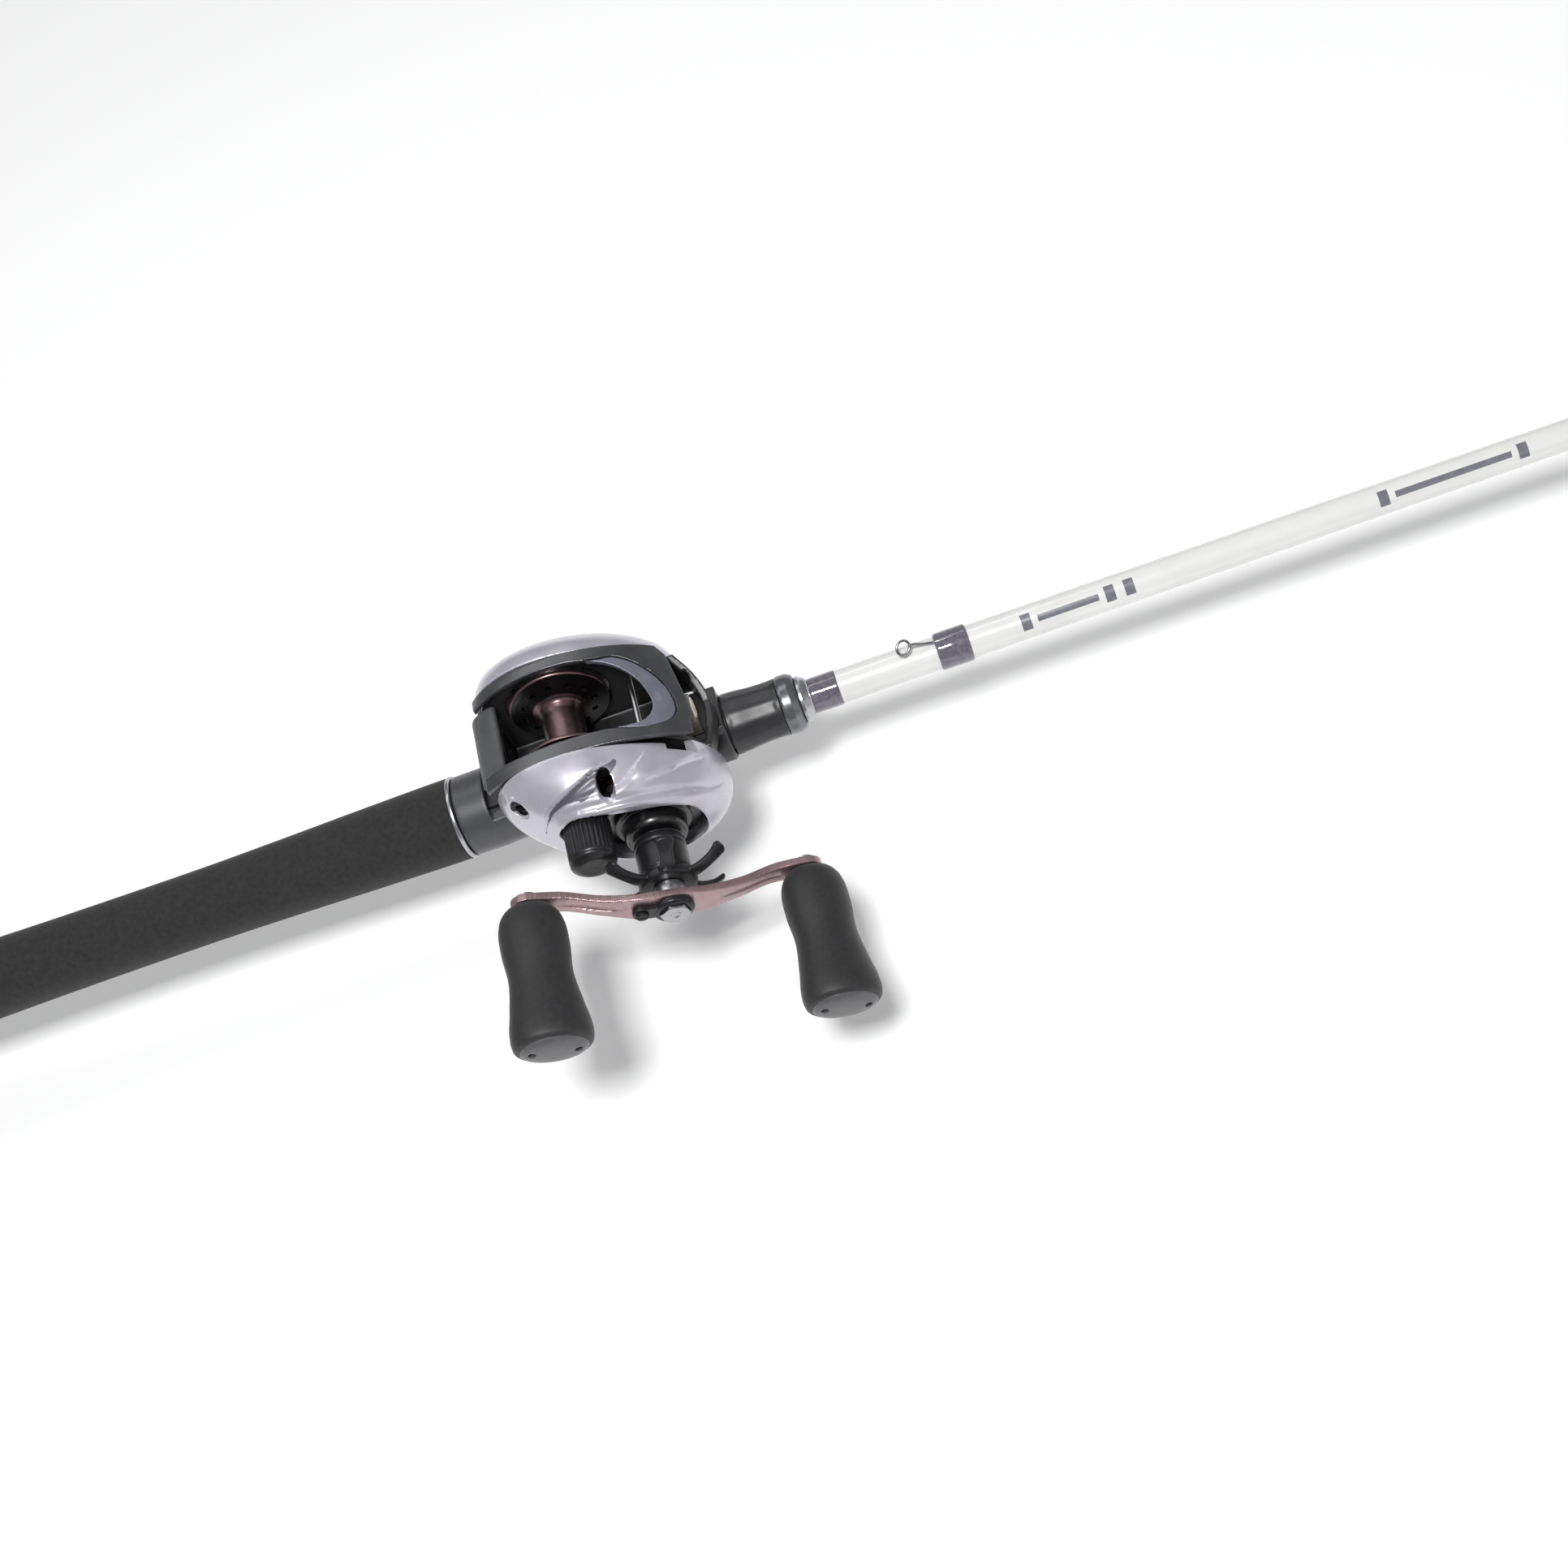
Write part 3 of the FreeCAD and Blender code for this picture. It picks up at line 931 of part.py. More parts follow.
# ---- assembly -----------------------------------------------------------------------------
def main():
    os.makedirs("parts", exist_ok=True)
    write("butt_cap", butt_cap())
    write("rear_grip", rear_grip())
    write("blank", blank())
    write("guide_frames", group([guide_frame(*guide) for guide in GUIDES] + [tip_top_frame()]))
    write("guide_rings", group([guide_ring(*guide) for guide in GUIDES] + [tip_top_ring()]))
    write("thread_wraps", group([fore_wrap(), keeper_wrap()] + guide_wraps()))
    reel_side = {
        "grip_trim_ring": trim_ring(), "reel_seat": reel_seat(), "sliding_hood": sliding_hood(),
        "lock_nut": lock_nut(), "nut_trim_ring": nut_trim(), "winding_check": winding_check(),
        "hook_keeper": keeper(), "reel_foot": reel_foot(),
        "body_screws": group(foot_screws() + cover_screws()),
        "frame": frame(), "line_bar": line_bar(),
        "cowl": cowl(), "left_side_plate": left_plate(), "brake_dial": brake_dial(),
        "brake_base": brake_base(), "brake_magnets": group([magnet_ring()] + magnets()),
        "spool_bearings": group([bearing(SPOOL_X, SPOOL_Z, 4.0, SHAFT_R + RUN, 14.2, 16.6),
                                 bearing(SPOOL_X, SPOOL_Z, 4.0, PINION_SHAFT_R + RUN, -38.4, -36.1)]),
        "shaft_bearing": bearing(DRIVE_X, DRIVE_Z, 3.25, 1.7 + RUN, -18.3, -15.9),
        "one_way_bearing": one_way_bearing(), "right_side_plate": right_plate(),
        "gear_cover": gear_cover(), "yoke_springs": yoke_springs(),
        "spool": spool(), "spool_shaft": group([spool_shaft(), spool_pin()]),
        "brake_rotor": brake_rotor(), "pinion": pinion(), "clutch_yoke": clutch_yoke(),
        "thumb_bar": thumb_bar(), "clutch_cam": clutch_cam(),
        "drive_shaft": drive_shaft(), "drive_gear": drive_gear(), "drag_washers": drag_washers(),
        "feed_gear": feed_gear(), "one_way_sleeve": one_way_sleeve(), "star_drag": star_drag(),
        "drag_spacer": drag_spacer(), "crank_arm": crank_arm(), "handle_nut": handle_nut(),
        "nut_retainer": nut_retainer(), "retainer_screw": retainer_screw(), "knob_posts": knob_posts(),
        "knob_bushings": group([at_knob(knob_bushings(), side) for side in (-1, 1)]),
        "cast_control_cap": cast_cap(), "tension_shim": tension_shim(), "worm_shaft": worm_shaft(),
        "worm_gear": worm_gear(), "worm_shield": worm_shield(), "line_guide": line_guide(),
        "line_guide_ring": line_ring(), "pawl": pawl(),
    }
    for name, side in (("rear", -1), ("front", 1)):
        reel_side["knob_grip_" + name] = at_knob(knob_grip(), side)
        reel_side["knob_cap_" + name] = at_knob(knob_cap(), side)
    for name, shape in reel_side.items():
        write(name, shape, at_reel=True)
    print("crank axis %.3f %.3f" % (REEL_X + DRIVE_X, DRIVE_Z))
    print("worm axis %.3f %.3f" % (REEL_X + WORM_X, WORM_Z))


main()
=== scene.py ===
"""Looks for the casting rod and its low-profile reel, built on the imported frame.

Shapes are drawn in millimetres about the reel: the origin is on the rod's axis under the spool,
+X to the tip, +Y to the palm side, +Z up.  build() turns them into metres in the row frame.
"""

from math import cos, pi, radians, sin, sqrt

import bmesh
import bpy
import numpy as np
from mathutils import Matrix, Vector


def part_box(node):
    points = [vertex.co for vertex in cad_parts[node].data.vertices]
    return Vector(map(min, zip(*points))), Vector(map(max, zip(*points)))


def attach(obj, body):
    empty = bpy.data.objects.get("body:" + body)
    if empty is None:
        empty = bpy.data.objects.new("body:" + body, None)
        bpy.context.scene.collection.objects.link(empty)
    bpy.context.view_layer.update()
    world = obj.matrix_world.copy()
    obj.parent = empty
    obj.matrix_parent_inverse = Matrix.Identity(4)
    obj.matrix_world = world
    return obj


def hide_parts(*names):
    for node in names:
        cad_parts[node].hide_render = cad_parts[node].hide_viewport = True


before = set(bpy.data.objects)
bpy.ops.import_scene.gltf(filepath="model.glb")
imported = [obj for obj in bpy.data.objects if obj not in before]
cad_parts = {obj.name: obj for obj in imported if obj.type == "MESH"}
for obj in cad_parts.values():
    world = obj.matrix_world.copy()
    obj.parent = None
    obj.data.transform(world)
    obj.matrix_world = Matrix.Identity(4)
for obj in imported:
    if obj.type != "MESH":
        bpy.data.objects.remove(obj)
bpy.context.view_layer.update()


def middle(node):
    low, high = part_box(node)
    return [(a + b) / 2 for a, b in zip(low, high)]


# ---- stations read from the frame, in millimetres about the reel ------------------------------
REEL = middle("spool")[0] * 1000 + 1.2
SPOOL_X, SPOOL_Z = -1.2, middle("spool")[2] * 1000
DRIVE_X, DRIVE_Z = middle("drive_gear")[0] * 1000 - REEL, middle("drive_gear")[2] * 1000
WORM_X, WORM_Z = middle("worm_shield")[0] * 1000 - REEL, middle("worm_shield")[2] * 1000
SPOOL, DRIVE, WORM = (SPOOL_X, SPOOL_Z), (DRIVE_X, DRIVE_Z), (WORM_X, WORM_Z)
ROD_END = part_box("blank")[1][0] * 1000
BODY = "rod_and_reel_body"
TILT = radians(21.6)            # the crank at rest
CRANK_HALF = 40.5
KNOB_LEN = 43.6                 # foam part of a knob
ARM_MID, ARM_SWEEP, ARM_T = -60.0, 5.6, 2.6
BLANK_R = [(-243, 5.9), (0, 5.54), (85, 5.27), (247, 4.77), (ROD_END - REEL, 0.95)]
GUIDES = [(100, 3.0, 7.4), (210, 3.0, 7.4), (330, 3.5, 8.0), (460, 3.5, 8.2), (605, 4.0, 9.0),
          (770, 4.0, 9.4), (960, 5.0, 11.6), (1180, 6.0, 14.4)]


def blank_radius(x):
    for (x0, r0), (x1, r1) in zip(BLANK_R, BLANK_R[1:]):
        if x <= x1:
            return r0 + (r1 - r0) * (x - x0) / (x1 - x0)
    return BLANK_R[-1][1]


# ---- mesh helpers -------------------------------------------------------------------------------
def build(verts, faces):
    """New object from millimetre points about the reel."""
    points = np.asarray(verts, dtype=float) * 0.001
    points[:, 0] += REEL * 0.001
    mesh = bpy.data.meshes.new("piece")
    mesh.from_pydata(points.tolist(), [], faces)
    work = bmesh.new()
    work.from_mesh(mesh)
    bmesh.ops.remove_doubles(work, verts=work.verts, dist=1e-7)
    bmesh.ops.dissolve_degenerate(work, edges=work.edges, dist=1e-8)
    bmesh.ops.recalc_face_normals(work, faces=work.faces)
    work.to_mesh(mesh)
    work.free()
    thing = bpy.data.objects.new("piece", mesh)
    bpy.context.collection.objects.link(thing)
    return thing


def skin(rings, closed=False):
    """Faces between equal rings of points; the ends are capped unless the rings close on themselves."""
    count = len(rings)
    n = len(rings[0])
    faces = []
    for i in range(count if closed else count - 1):
        a, b = i * n, ((i + 1) % count) * n
        for j in range(n):
            k = (j + 1) % n
            faces.append((a + j, a + k, b + k, b + j))
    if not closed:
        faces.append(tuple(range(n)))
        faces.append(tuple((count - 1) * n + j for j in reversed(range(n))))
    return faces


def loft(rings, closed=False):
    return build(np.concatenate([np.asarray(r, dtype=float) for r in rings]), skin(rings, closed))


def rounded(profile, radius, closed=False, steps=4):
    """Rounds the corners of a (station, radius) outline."""
    n = len(profile)
    result = []
    for i, (px, py) in enumerate(profile):
        if not closed and i in (0, n - 1):
            result.append((px, py))
            continue
        here = np.array((px, py), dtype=float)
        before = np.array(profile[i - 1], dtype=float) - here
        after = np.array(profile[(i + 1) % n], dtype=float) - here
        la, lb = np.linalg.norm(before), np.linalg.norm(after)
        reach = min(radius, 0.45 * la, 0.45 * lb)
        start, end = here + before / la * reach, here + after / lb * reach
        for s in range(steps + 1):
            t = s / steps
            result.append(tuple((1 - t) ** 2 * start + 2 * t * (1 - t) * here + t * t * end))
    return result


def lathe(axis, at, profile, segs=128, closed=False, ripple=None):
    """Solid of revolution; axis x turns about (y, z) = at, axis y about (x, z) = at."""
    turns = np.arange(segs) * 2 * pi / segs
    rings = []
    for t, r in profile:
        rr = np.full(segs, float(r)) if ripple is None else r + ripple(t, r, turns)
        if axis == "x":
            rings.append(np.stack([np.full(segs, float(t)), at[0] + rr * np.cos(turns),
                                   at[1] + rr * np.sin(turns)], axis=1))
        else:
            rings.append(np.stack([at[0] + rr * np.cos(turns), np.full(segs, float(t)),
                                   at[1] + rr * np.sin(turns)], axis=1))
    return loft(rings, closed)


def rod(axis, at, start, end, radius, segs=128):
    return lathe(axis, at, [(start, 0), (start, radius), (end, radius), (end, 0)], segs)


def annulus(axis, at, outline, corner, segs=128):
    """Turned ring whose section is the outline, with rounded corners."""
    return lathe(axis, at, rounded(outline, corner, closed=True), segs, closed=True)


def prism(outline, axis, low, high):
    """Straight prism: the outline is (x, z) for axis y, (x, y) for axis z and (y, z) for axis x."""
    rings = []
    for station in (low, high):
        if axis == "y":
            rings.append([(a, station, b) for a, b in outline])
        elif axis == "z":
            rings.append([(a, b, station) for a, b in outline])
        else:
            rings.append([(station, a, b) for a, b in outline])
    return loft(rings)


def block(x0, x1, y0, y1, z0, z1):
    return prism([(x0, z0), (x1, z0), (x1, z1), (x0, z1)], "y", y0, y1)


def smooth_line(points, closed=False, per=10):
    """Catmull-Rom curve through points of any dimension."""
    pts = [np.array(p, dtype=float) for p in points]
    n = len(pts)
    result = []
    for i in range(n if closed else n - 1):
        p1, p2 = pts[i], pts[(i + 1) % n]
        p0 = pts[i - 1] if (closed or i > 0) else 2 * p1 - p2
        p3 = pts[(i + 2) % n] if (closed or i + 2 < n) else 2 * p2 - p1
        for s in range(per):
            t = s / per
            result.append(0.5 * (2 * p1 + (p2 - p0) * t + (2 * p0 - 5 * p1 + 4 * p2 - p3) * t * t
                                 + (3 * p1 - p0 - 3 * p2 + p3) * t ** 3))
    if not closed:
        result.append(pts[-1])
    return [tuple(p) for p in result]


def ellipse(y, cx, cz, a, b, tilt, n=256):
    t = np.arange(n) * 2 * pi / n
    u, v = a * np.cos(t), b * np.sin(t)
    return np.stack([cx + u * cos(tilt) - v * sin(tilt), np.full(n, float(y)),
                     cz + u * sin(tilt) + v * cos(tilt)], axis=1)


def squared(wave, power):
    """Sine or cosine values drawn towards a square: a superellipse's axis."""
    return np.sign(wave) * np.abs(wave) ** power


def settle(thing):
    """Applies the object's modifiers."""
    graph = bpy.context.evaluated_depsgraph_get()
    mesh = bpy.data.meshes.new_from_object(thing.evaluated_get(graph))
    old = thing.data
    thing.modifiers.clear()
    thing.data = mesh
    bpy.data.meshes.remove(old)


def combine(thing, others, operation):
    for other in others:
        step = thing.modifiers.new("b", "BOOLEAN")
        step.operation = operation
        step.solver = "MANIFOLD"
        step.object = other
        settle(thing)
        bpy.data.objects.remove(other)
    return thing


def cut(thing, *others):
    return combine(thing, others, "DIFFERENCE")


def join(thing, *others):
    return combine(thing, others, "UNION")


def keep(thing, *others):
    return combine(thing, others, "INTERSECT")


def soften(thing, voxel, rounds=3):
    """Rounds every edge: a fine remesh, then smoothing."""
    step = thing.modifiers.new("r", "REMESH")
    step.mode = "VOXEL"
    step.voxel_size = voxel * 0.001
    step.adaptivity = 0.0
    calm = thing.modifiers.new("s", "SMOOTH")
    calm.factor = 0.5
    calm.iterations = rounds
    settle(thing)
    return thing


def tube(path, radius, sides=16):
    """Round bar with domed ends along a smooth path; radius may be a list."""
    pts = np.array(path, dtype=float)
    n = len(pts)
    radii = np.full(n, float(radius)) if np.isscalar(radius) else np.array(radius, dtype=float)
    heads = np.gradient(pts, axis=0)
    heads /= np.linalg.norm(heads, axis=1)[:, None]
    side = np.cross(heads[0], (0.31, 0.52, 0.79))
    side /= np.linalg.norm(side)
    rings = []
    turns = np.arange(sides) * 2 * pi / sides
    for i in range(n):
        side = side - heads[i] * np.dot(side, heads[i])
        side /= np.linalg.norm(side)
        up = np.cross(heads[i], side)
        caps = [(0.0, 1.0)]
        if i == 0:
            caps = [(-cos(a), sin(a)) for a in (0.02, 0.5, 1.0)] + caps
        if i == n - 1:
            caps = caps + [(cos(a), sin(a)) for a in (1.0, 0.5, 0.02)]
        for along, grow in caps:
            centre = pts[i] + heads[i] * radii[i] * along
            r = radii[i] * grow
            rings.append([tuple(centre + r * (side * cos(t) + up * sin(t))) for t in turns])
    return loft(rings)


def merge(things):
    """One object from several separate closed ones."""
    work = bmesh.new()
    for thing in things:
        work.from_mesh(thing.data)
        bpy.data.objects.remove(thing)
    mesh = bpy.data.meshes.new("piece")
    work.to_mesh(mesh)
    work.free()
    whole = bpy.data.objects.new("piece", mesh)
    bpy.context.collection.objects.link(whole)
    return whole


def use(thing, name, body, material, nodes=(), crease=35.0):
    """Names, shades, paints and hands over a finished piece."""
    thing.name = name
    thing.data.materials.clear()
    for m in material if isinstance(material, (list, tuple)) else [material]:
        thing.data.materials.append(m)
    thing.data.polygons.foreach_set("use_smooth", [True] * len(thing.data.polygons))
    thing.data.set_sharp_from_angle(angle=radians(crease))
    thing.data.update()
    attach(thing, body)
    if nodes:
        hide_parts(*nodes)
    return thing


def moved(thing, x, y, z):
    thing.data.transform(Matrix.Translation((x * 0.001, y * 0.001, z * 0.001)))
    return thing


def turned(thing, x, z, angle):
    """Turns a piece about a Y axis through (x, z); positive lifts the rear end."""
    pivot = Vector(((REEL + x) * 0.001, 0, z * 0.001))
    spin = Matrix.Translation(pivot) @ Matrix.Rotation(angle, 4, "Y") @ Matrix.Translation(-pivot)
    thing.data.transform(spin)
    return thing


def at_crank(thing):
    """Pieces drawn about the crank axis as origin, along X, go to the tilted crank."""
    return turned(moved(thing, DRIVE_X, 0, DRIVE_Z), DRIVE_X, DRIVE_Z, TILT)


# ---- materials ----------------------------------------------------------------------------------
WAVE_BAND = 0.314159 / 2        # scale at which a wave texture has one band per unit


def paint(name, color, rough, metal=0.0, coat=0.0, coat_rough=0.1, mottle=0.12, patch=9.0, grain=0.0,
          grain_size=0.35, rough_vary=0.08, second=None, bands=None, sheen=0.0, flake=0.0, dots=None):
    """Principled surface with colour mottling, roughness variation and fine relief.

    patch and grain_size are in millimetres.  bands is (axis, pitch_mm, strength) for turned or
    wound surfaces; dots is (pitch_mm, strength) for a pattern of small pits.
    """
    m = bpy.data.materials.new(name)
    m.use_nodes = True
    tree = m.node_tree
    link = tree.links.new
    shader = tree.nodes["Principled BSDF"]
    shader.inputs["Metallic"].default_value = metal
    shader.inputs["Coat Weight"].default_value = coat
    shader.inputs["Coat Roughness"].default_value = coat_rough
    shader.inputs["Sheen Weight"].default_value = sheen
    where = tree.nodes.new("ShaderNodeTexCoord").outputs["Object"]

    def texture(kind, size, **values):
        made = tree.nodes.new("ShaderNodeTex" + kind)
        made.inputs["Scale"].default_value = 1000.0 / size
        for key, value in values.items():
            made.inputs[key].default_value = value
        link(where, made.inputs["Vector"])
        return made

    def relief(height, strength, depth, below):
        bump = tree.nodes.new("ShaderNodeBump")
        bump.inputs["Strength"].default_value = strength
        bump.inputs["Distance"].default_value = depth
        link(height, bump.inputs["Height"])
        if below:
            link(below, bump.inputs["Normal"])
        return bump.outputs["Normal"]

    blotch = texture("Noise", patch, Detail=4.0)
    ramp = tree.nodes.new("ShaderNodeValToRGB")
    dark = [c * (1 - mottle) for c in color]
    light = second or [min(1.0, c * (1 + mottle)) for c in color]
    ramp.color_ramp.elements[0].position = 0.32
    ramp.color_ramp.elements[0].color = (*dark, 1)
    ramp.color_ramp.elements[1].position = 0.68
    ramp.color_ramp.elements[1].color = (*light, 1)
    link(blotch.outputs["Fac"], ramp.inputs["Fac"])
    colour = ramp.outputs["Color"]
    if flake:
        speck = texture("Voronoi", 0.12)
        mix = tree.nodes.new("ShaderNodeMixRGB")
        mix.blend_type = "SOFT_LIGHT"
        mix.inputs["Fac"].default_value = flake
        link(colour, mix.inputs["Color1"])
        link(speck.outputs["Color"], mix.inputs["Color2"])
        colour = mix.outputs["Color"]
    link(colour, shader.inputs["Base Color"])
    spread = tree.nodes.new("ShaderNodeMapRange")
    spread.inputs["To Min"].default_value = max(0.02, rough - rough_vary)
    spread.inputs["To Max"].default_value = min(1.0, rough + rough_vary)
    link(blotch.outputs["Fac"], spread.inputs["Value"])
    link(spread.outputs["Result"], shader.inputs["Roughness"])
    normal = None
    if grain:
        fine = texture("Noise", grain_size, Detail=3.0)
        normal = relief(fine.outputs["Fac"], grain, 0.0001, normal)
    if bands:
        axis, pitch, strength = bands
        wave = texture("Wave", pitch / WAVE_BAND, Distortion=0.4, Detail=1.0)
        wave.wave_type = "BANDS"
        wave.bands_direction = axis
        normal = relief(wave.outputs["Fac"], strength, 0.0001, normal)
    if dots:
        pitch, strength = dots
        cells = texture("Voronoi", pitch, Randomness=0.15)
        normal = relief(cells.outputs["Distance"], strength, 0.0002, normal)
    if normal:
        link(normal, shader.inputs["Normal"])
    return m


M = {"foam": paint("eva_foam", (0.017, 0.017, 0.0175), 0.9, mottle=0.35, patch=1.6, grain=0.5,
                   grain_size=0.3, sheen=0.08), "butt": paint("butt_rubber", (0.022, 0.022, 0.022), 0.6,
                                                              mottle=0.2, patch=6, grain=0.25),
     "blank": paint("pearl_blank", (0.74, 0.735, 0.72), 0.22, coat=0.6, coat_rough=0.09, mottle=0.03,
                    patch=14, flake=0.12, rough_vary=0.03), "mark": paint("blank_marks", (0.16, 0.16, 0.19),
                                                                          0.25, coat=0.9, coat_rough=0.05,
                                                                          mottle=0.1, patch=3),
     "seat": paint("seat_grey", (0.052, 0.053, 0.058), 0.40, mottle=0.14, patch=5, grain=0.18,
                   grain_size=0.16, coat=0.15, coat_rough=0.35), "nut": paint("nut_grey",
                                                                              (0.022, 0.022, 0.024), 0.36,
                                                                              mottle=0.14, patch=4,
                                                                              grain=0.2, grain_size=0.16),
     "silver": paint("trim_silver", (0.46, 0.46, 0.48), 0.30, metal=1.0, mottle=0.06, patch=3,
                     bands=("X", 0.12, 0.1)), "trim": paint("trim_grey", (0.19, 0.195, 0.205), 0.30,
                                                            metal=0.9, mottle=0.08, patch=3,
                                                            bands=("X", 0.12, 0.12)),
     "thread": paint("thread_wrap", (0.10, 0.088, 0.125), 0.34, coat=1.0, coat_rough=0.06, mottle=0.18,
                     patch=1.2, bands=("X", 0.22, 0.9), second=(0.16, 0.145, 0.19)),
     "wire": paint("guide_wire", (0.30, 0.305, 0.315), 0.24, metal=1.0, mottle=0.08, patch=2, grain=0.05),
     "dark_ring": paint("guide_ring_dark", (0.03, 0.03, 0.034), 0.12, coat=0.5, mottle=0.1, patch=2),
     "ceramic": paint("line_ring_cream", (0.70, 0.63, 0.50), 0.22, coat=0.5, mottle=0.07, patch=1.2,
                      grain=0.04), "frame": paint("frame_black", (0.020, 0.020, 0.022), 0.38, metal=0.3,
                                                  coat=0.2, coat_rough=0.25, mottle=0.2, patch=3,
                                                  grain=0.12, grain_size=0.2),
     "cowl": paint("cowl_gunmetal", (0.095, 0.096, 0.102), 0.34, metal=0.75, coat=0.35, coat_rough=0.22,
                   mottle=0.10, patch=6, grain=0.06, grain_size=0.15, flake=0.25),
     "insert": paint("cowl_insert_blue_grey", (0.205, 0.212, 0.265), 0.42, metal=0.55, coat=0.3,
                     coat_rough=0.25, mottle=0.08, patch=5, grain=0.05, grain_size=0.15, flake=0.2),
     # painted shade: a darker grey that stands in for the shade in the scoop below the cover's upper wing
     "scoop_painted_shade": paint("plate_scoop_painted_shade", (0.12, 0.117, 0.137), 0.42, metal=0.4, coat=0.2, coat_rough=0.25,
                    mottle=0.05, patch=8, grain=0.04, grain_size=0.12, flake=0.22),
     "carriage": paint("guide_taupe", (0.17, 0.155, 0.13), 0.4, mottle=0.1, patch=2, grain=0.1),
     "plate": paint("plate_lavender_silver", (0.53, 0.515, 0.575), 0.30, metal=0.55, coat=0.5,
                    coat_rough=0.16, mottle=0.05, patch=8, grain=0.04, grain_size=0.12, flake=0.22),
     "cover": paint("cover_black", (0.007, 0.007, 0.008), 0.3, mottle=0.2, patch=4, coat=0.3,
                    coat_rough=0.15, grain=0.1, grain_size=0.2), "thumb": paint("thumb_bar_grey",
                                                                                (0.062, 0.063, 0.066), 0.48,
                                                                                mottle=0.12, patch=4,
                                                                                grain=0.35,
                                                                                grain_size=0.22),
     "spool": paint("spool_black", (0.004, 0.003, 0.0035), 0.3, metal=0.2, mottle=0.15, patch=3,
                    bands=("Y", 0.2, 0.12)), "arbor": paint("arbor_rose", (0.20, 0.128, 0.135), 0.32,
                                                            metal=1.0, mottle=0.08, patch=2,
                                                            bands=("Y", 0.25, 0.18)),
     "steel": paint("machined_steel", (0.40, 0.40, 0.41), 0.25, metal=1.0, mottle=0.07, patch=2,
                    grain=0.05), "brass": paint("machined_brass", (0.62, 0.43, 0.18), 0.28, metal=1.0,
                                                mottle=0.1, patch=2, bands=("Y", 0.2, 0.1)),
     "alloy": paint("machined_alloy", (0.58, 0.58, 0.60), 0.32, metal=1.0, mottle=0.07, patch=2,
                    bands=("Y", 0.2, 0.1)), "fibre": paint("drag_fibre", (0.06, 0.055, 0.05), 0.8,
                                                           mottle=0.4, patch=0.7, grain=0.5,
                                                           grain_size=0.3),
     "arm": paint("arm_rose", (0.38, 0.26, 0.27), 0.36, metal=0.85, mottle=0.10, patch=4, dots=(0.62, 0.55),
                  coat=0.15, coat_rough=0.3), "black_alloy": paint("black_anodised", (0.028, 0.028, 0.030),
                                                                   0.34, metal=0.6, mottle=0.16, patch=3,
                                                                   grain=0.1, grain_size=0.15),
     "knob": paint("knob_foam", (0.015, 0.0146, 0.016), 0.55, mottle=0.22, patch=1.4, grain=0.3,
                   grain_size=0.28, sheen=0.06), "knob_cap": paint("knob_cap_grey", (0.082, 0.080, 0.084),
                                                                   0.38, mottle=0.08, patch=2, coat=0.2,
                                                                   grain=0.06),
     "screw": paint("black_oxide", (0.03, 0.03, 0.031), 0.35, metal=0.8, mottle=0.2, patch=1.5, grain=0.1),
     "nylon": paint("natural_nylon", (0.62, 0.60, 0.55), 0.5, mottle=0.08, patch=2, grain=0.1),
     "dial": paint("dial_grey", (0.16, 0.16, 0.17), 0.42, mottle=0.1, patch=3, grain=0.15, grain_size=0.2),
     }


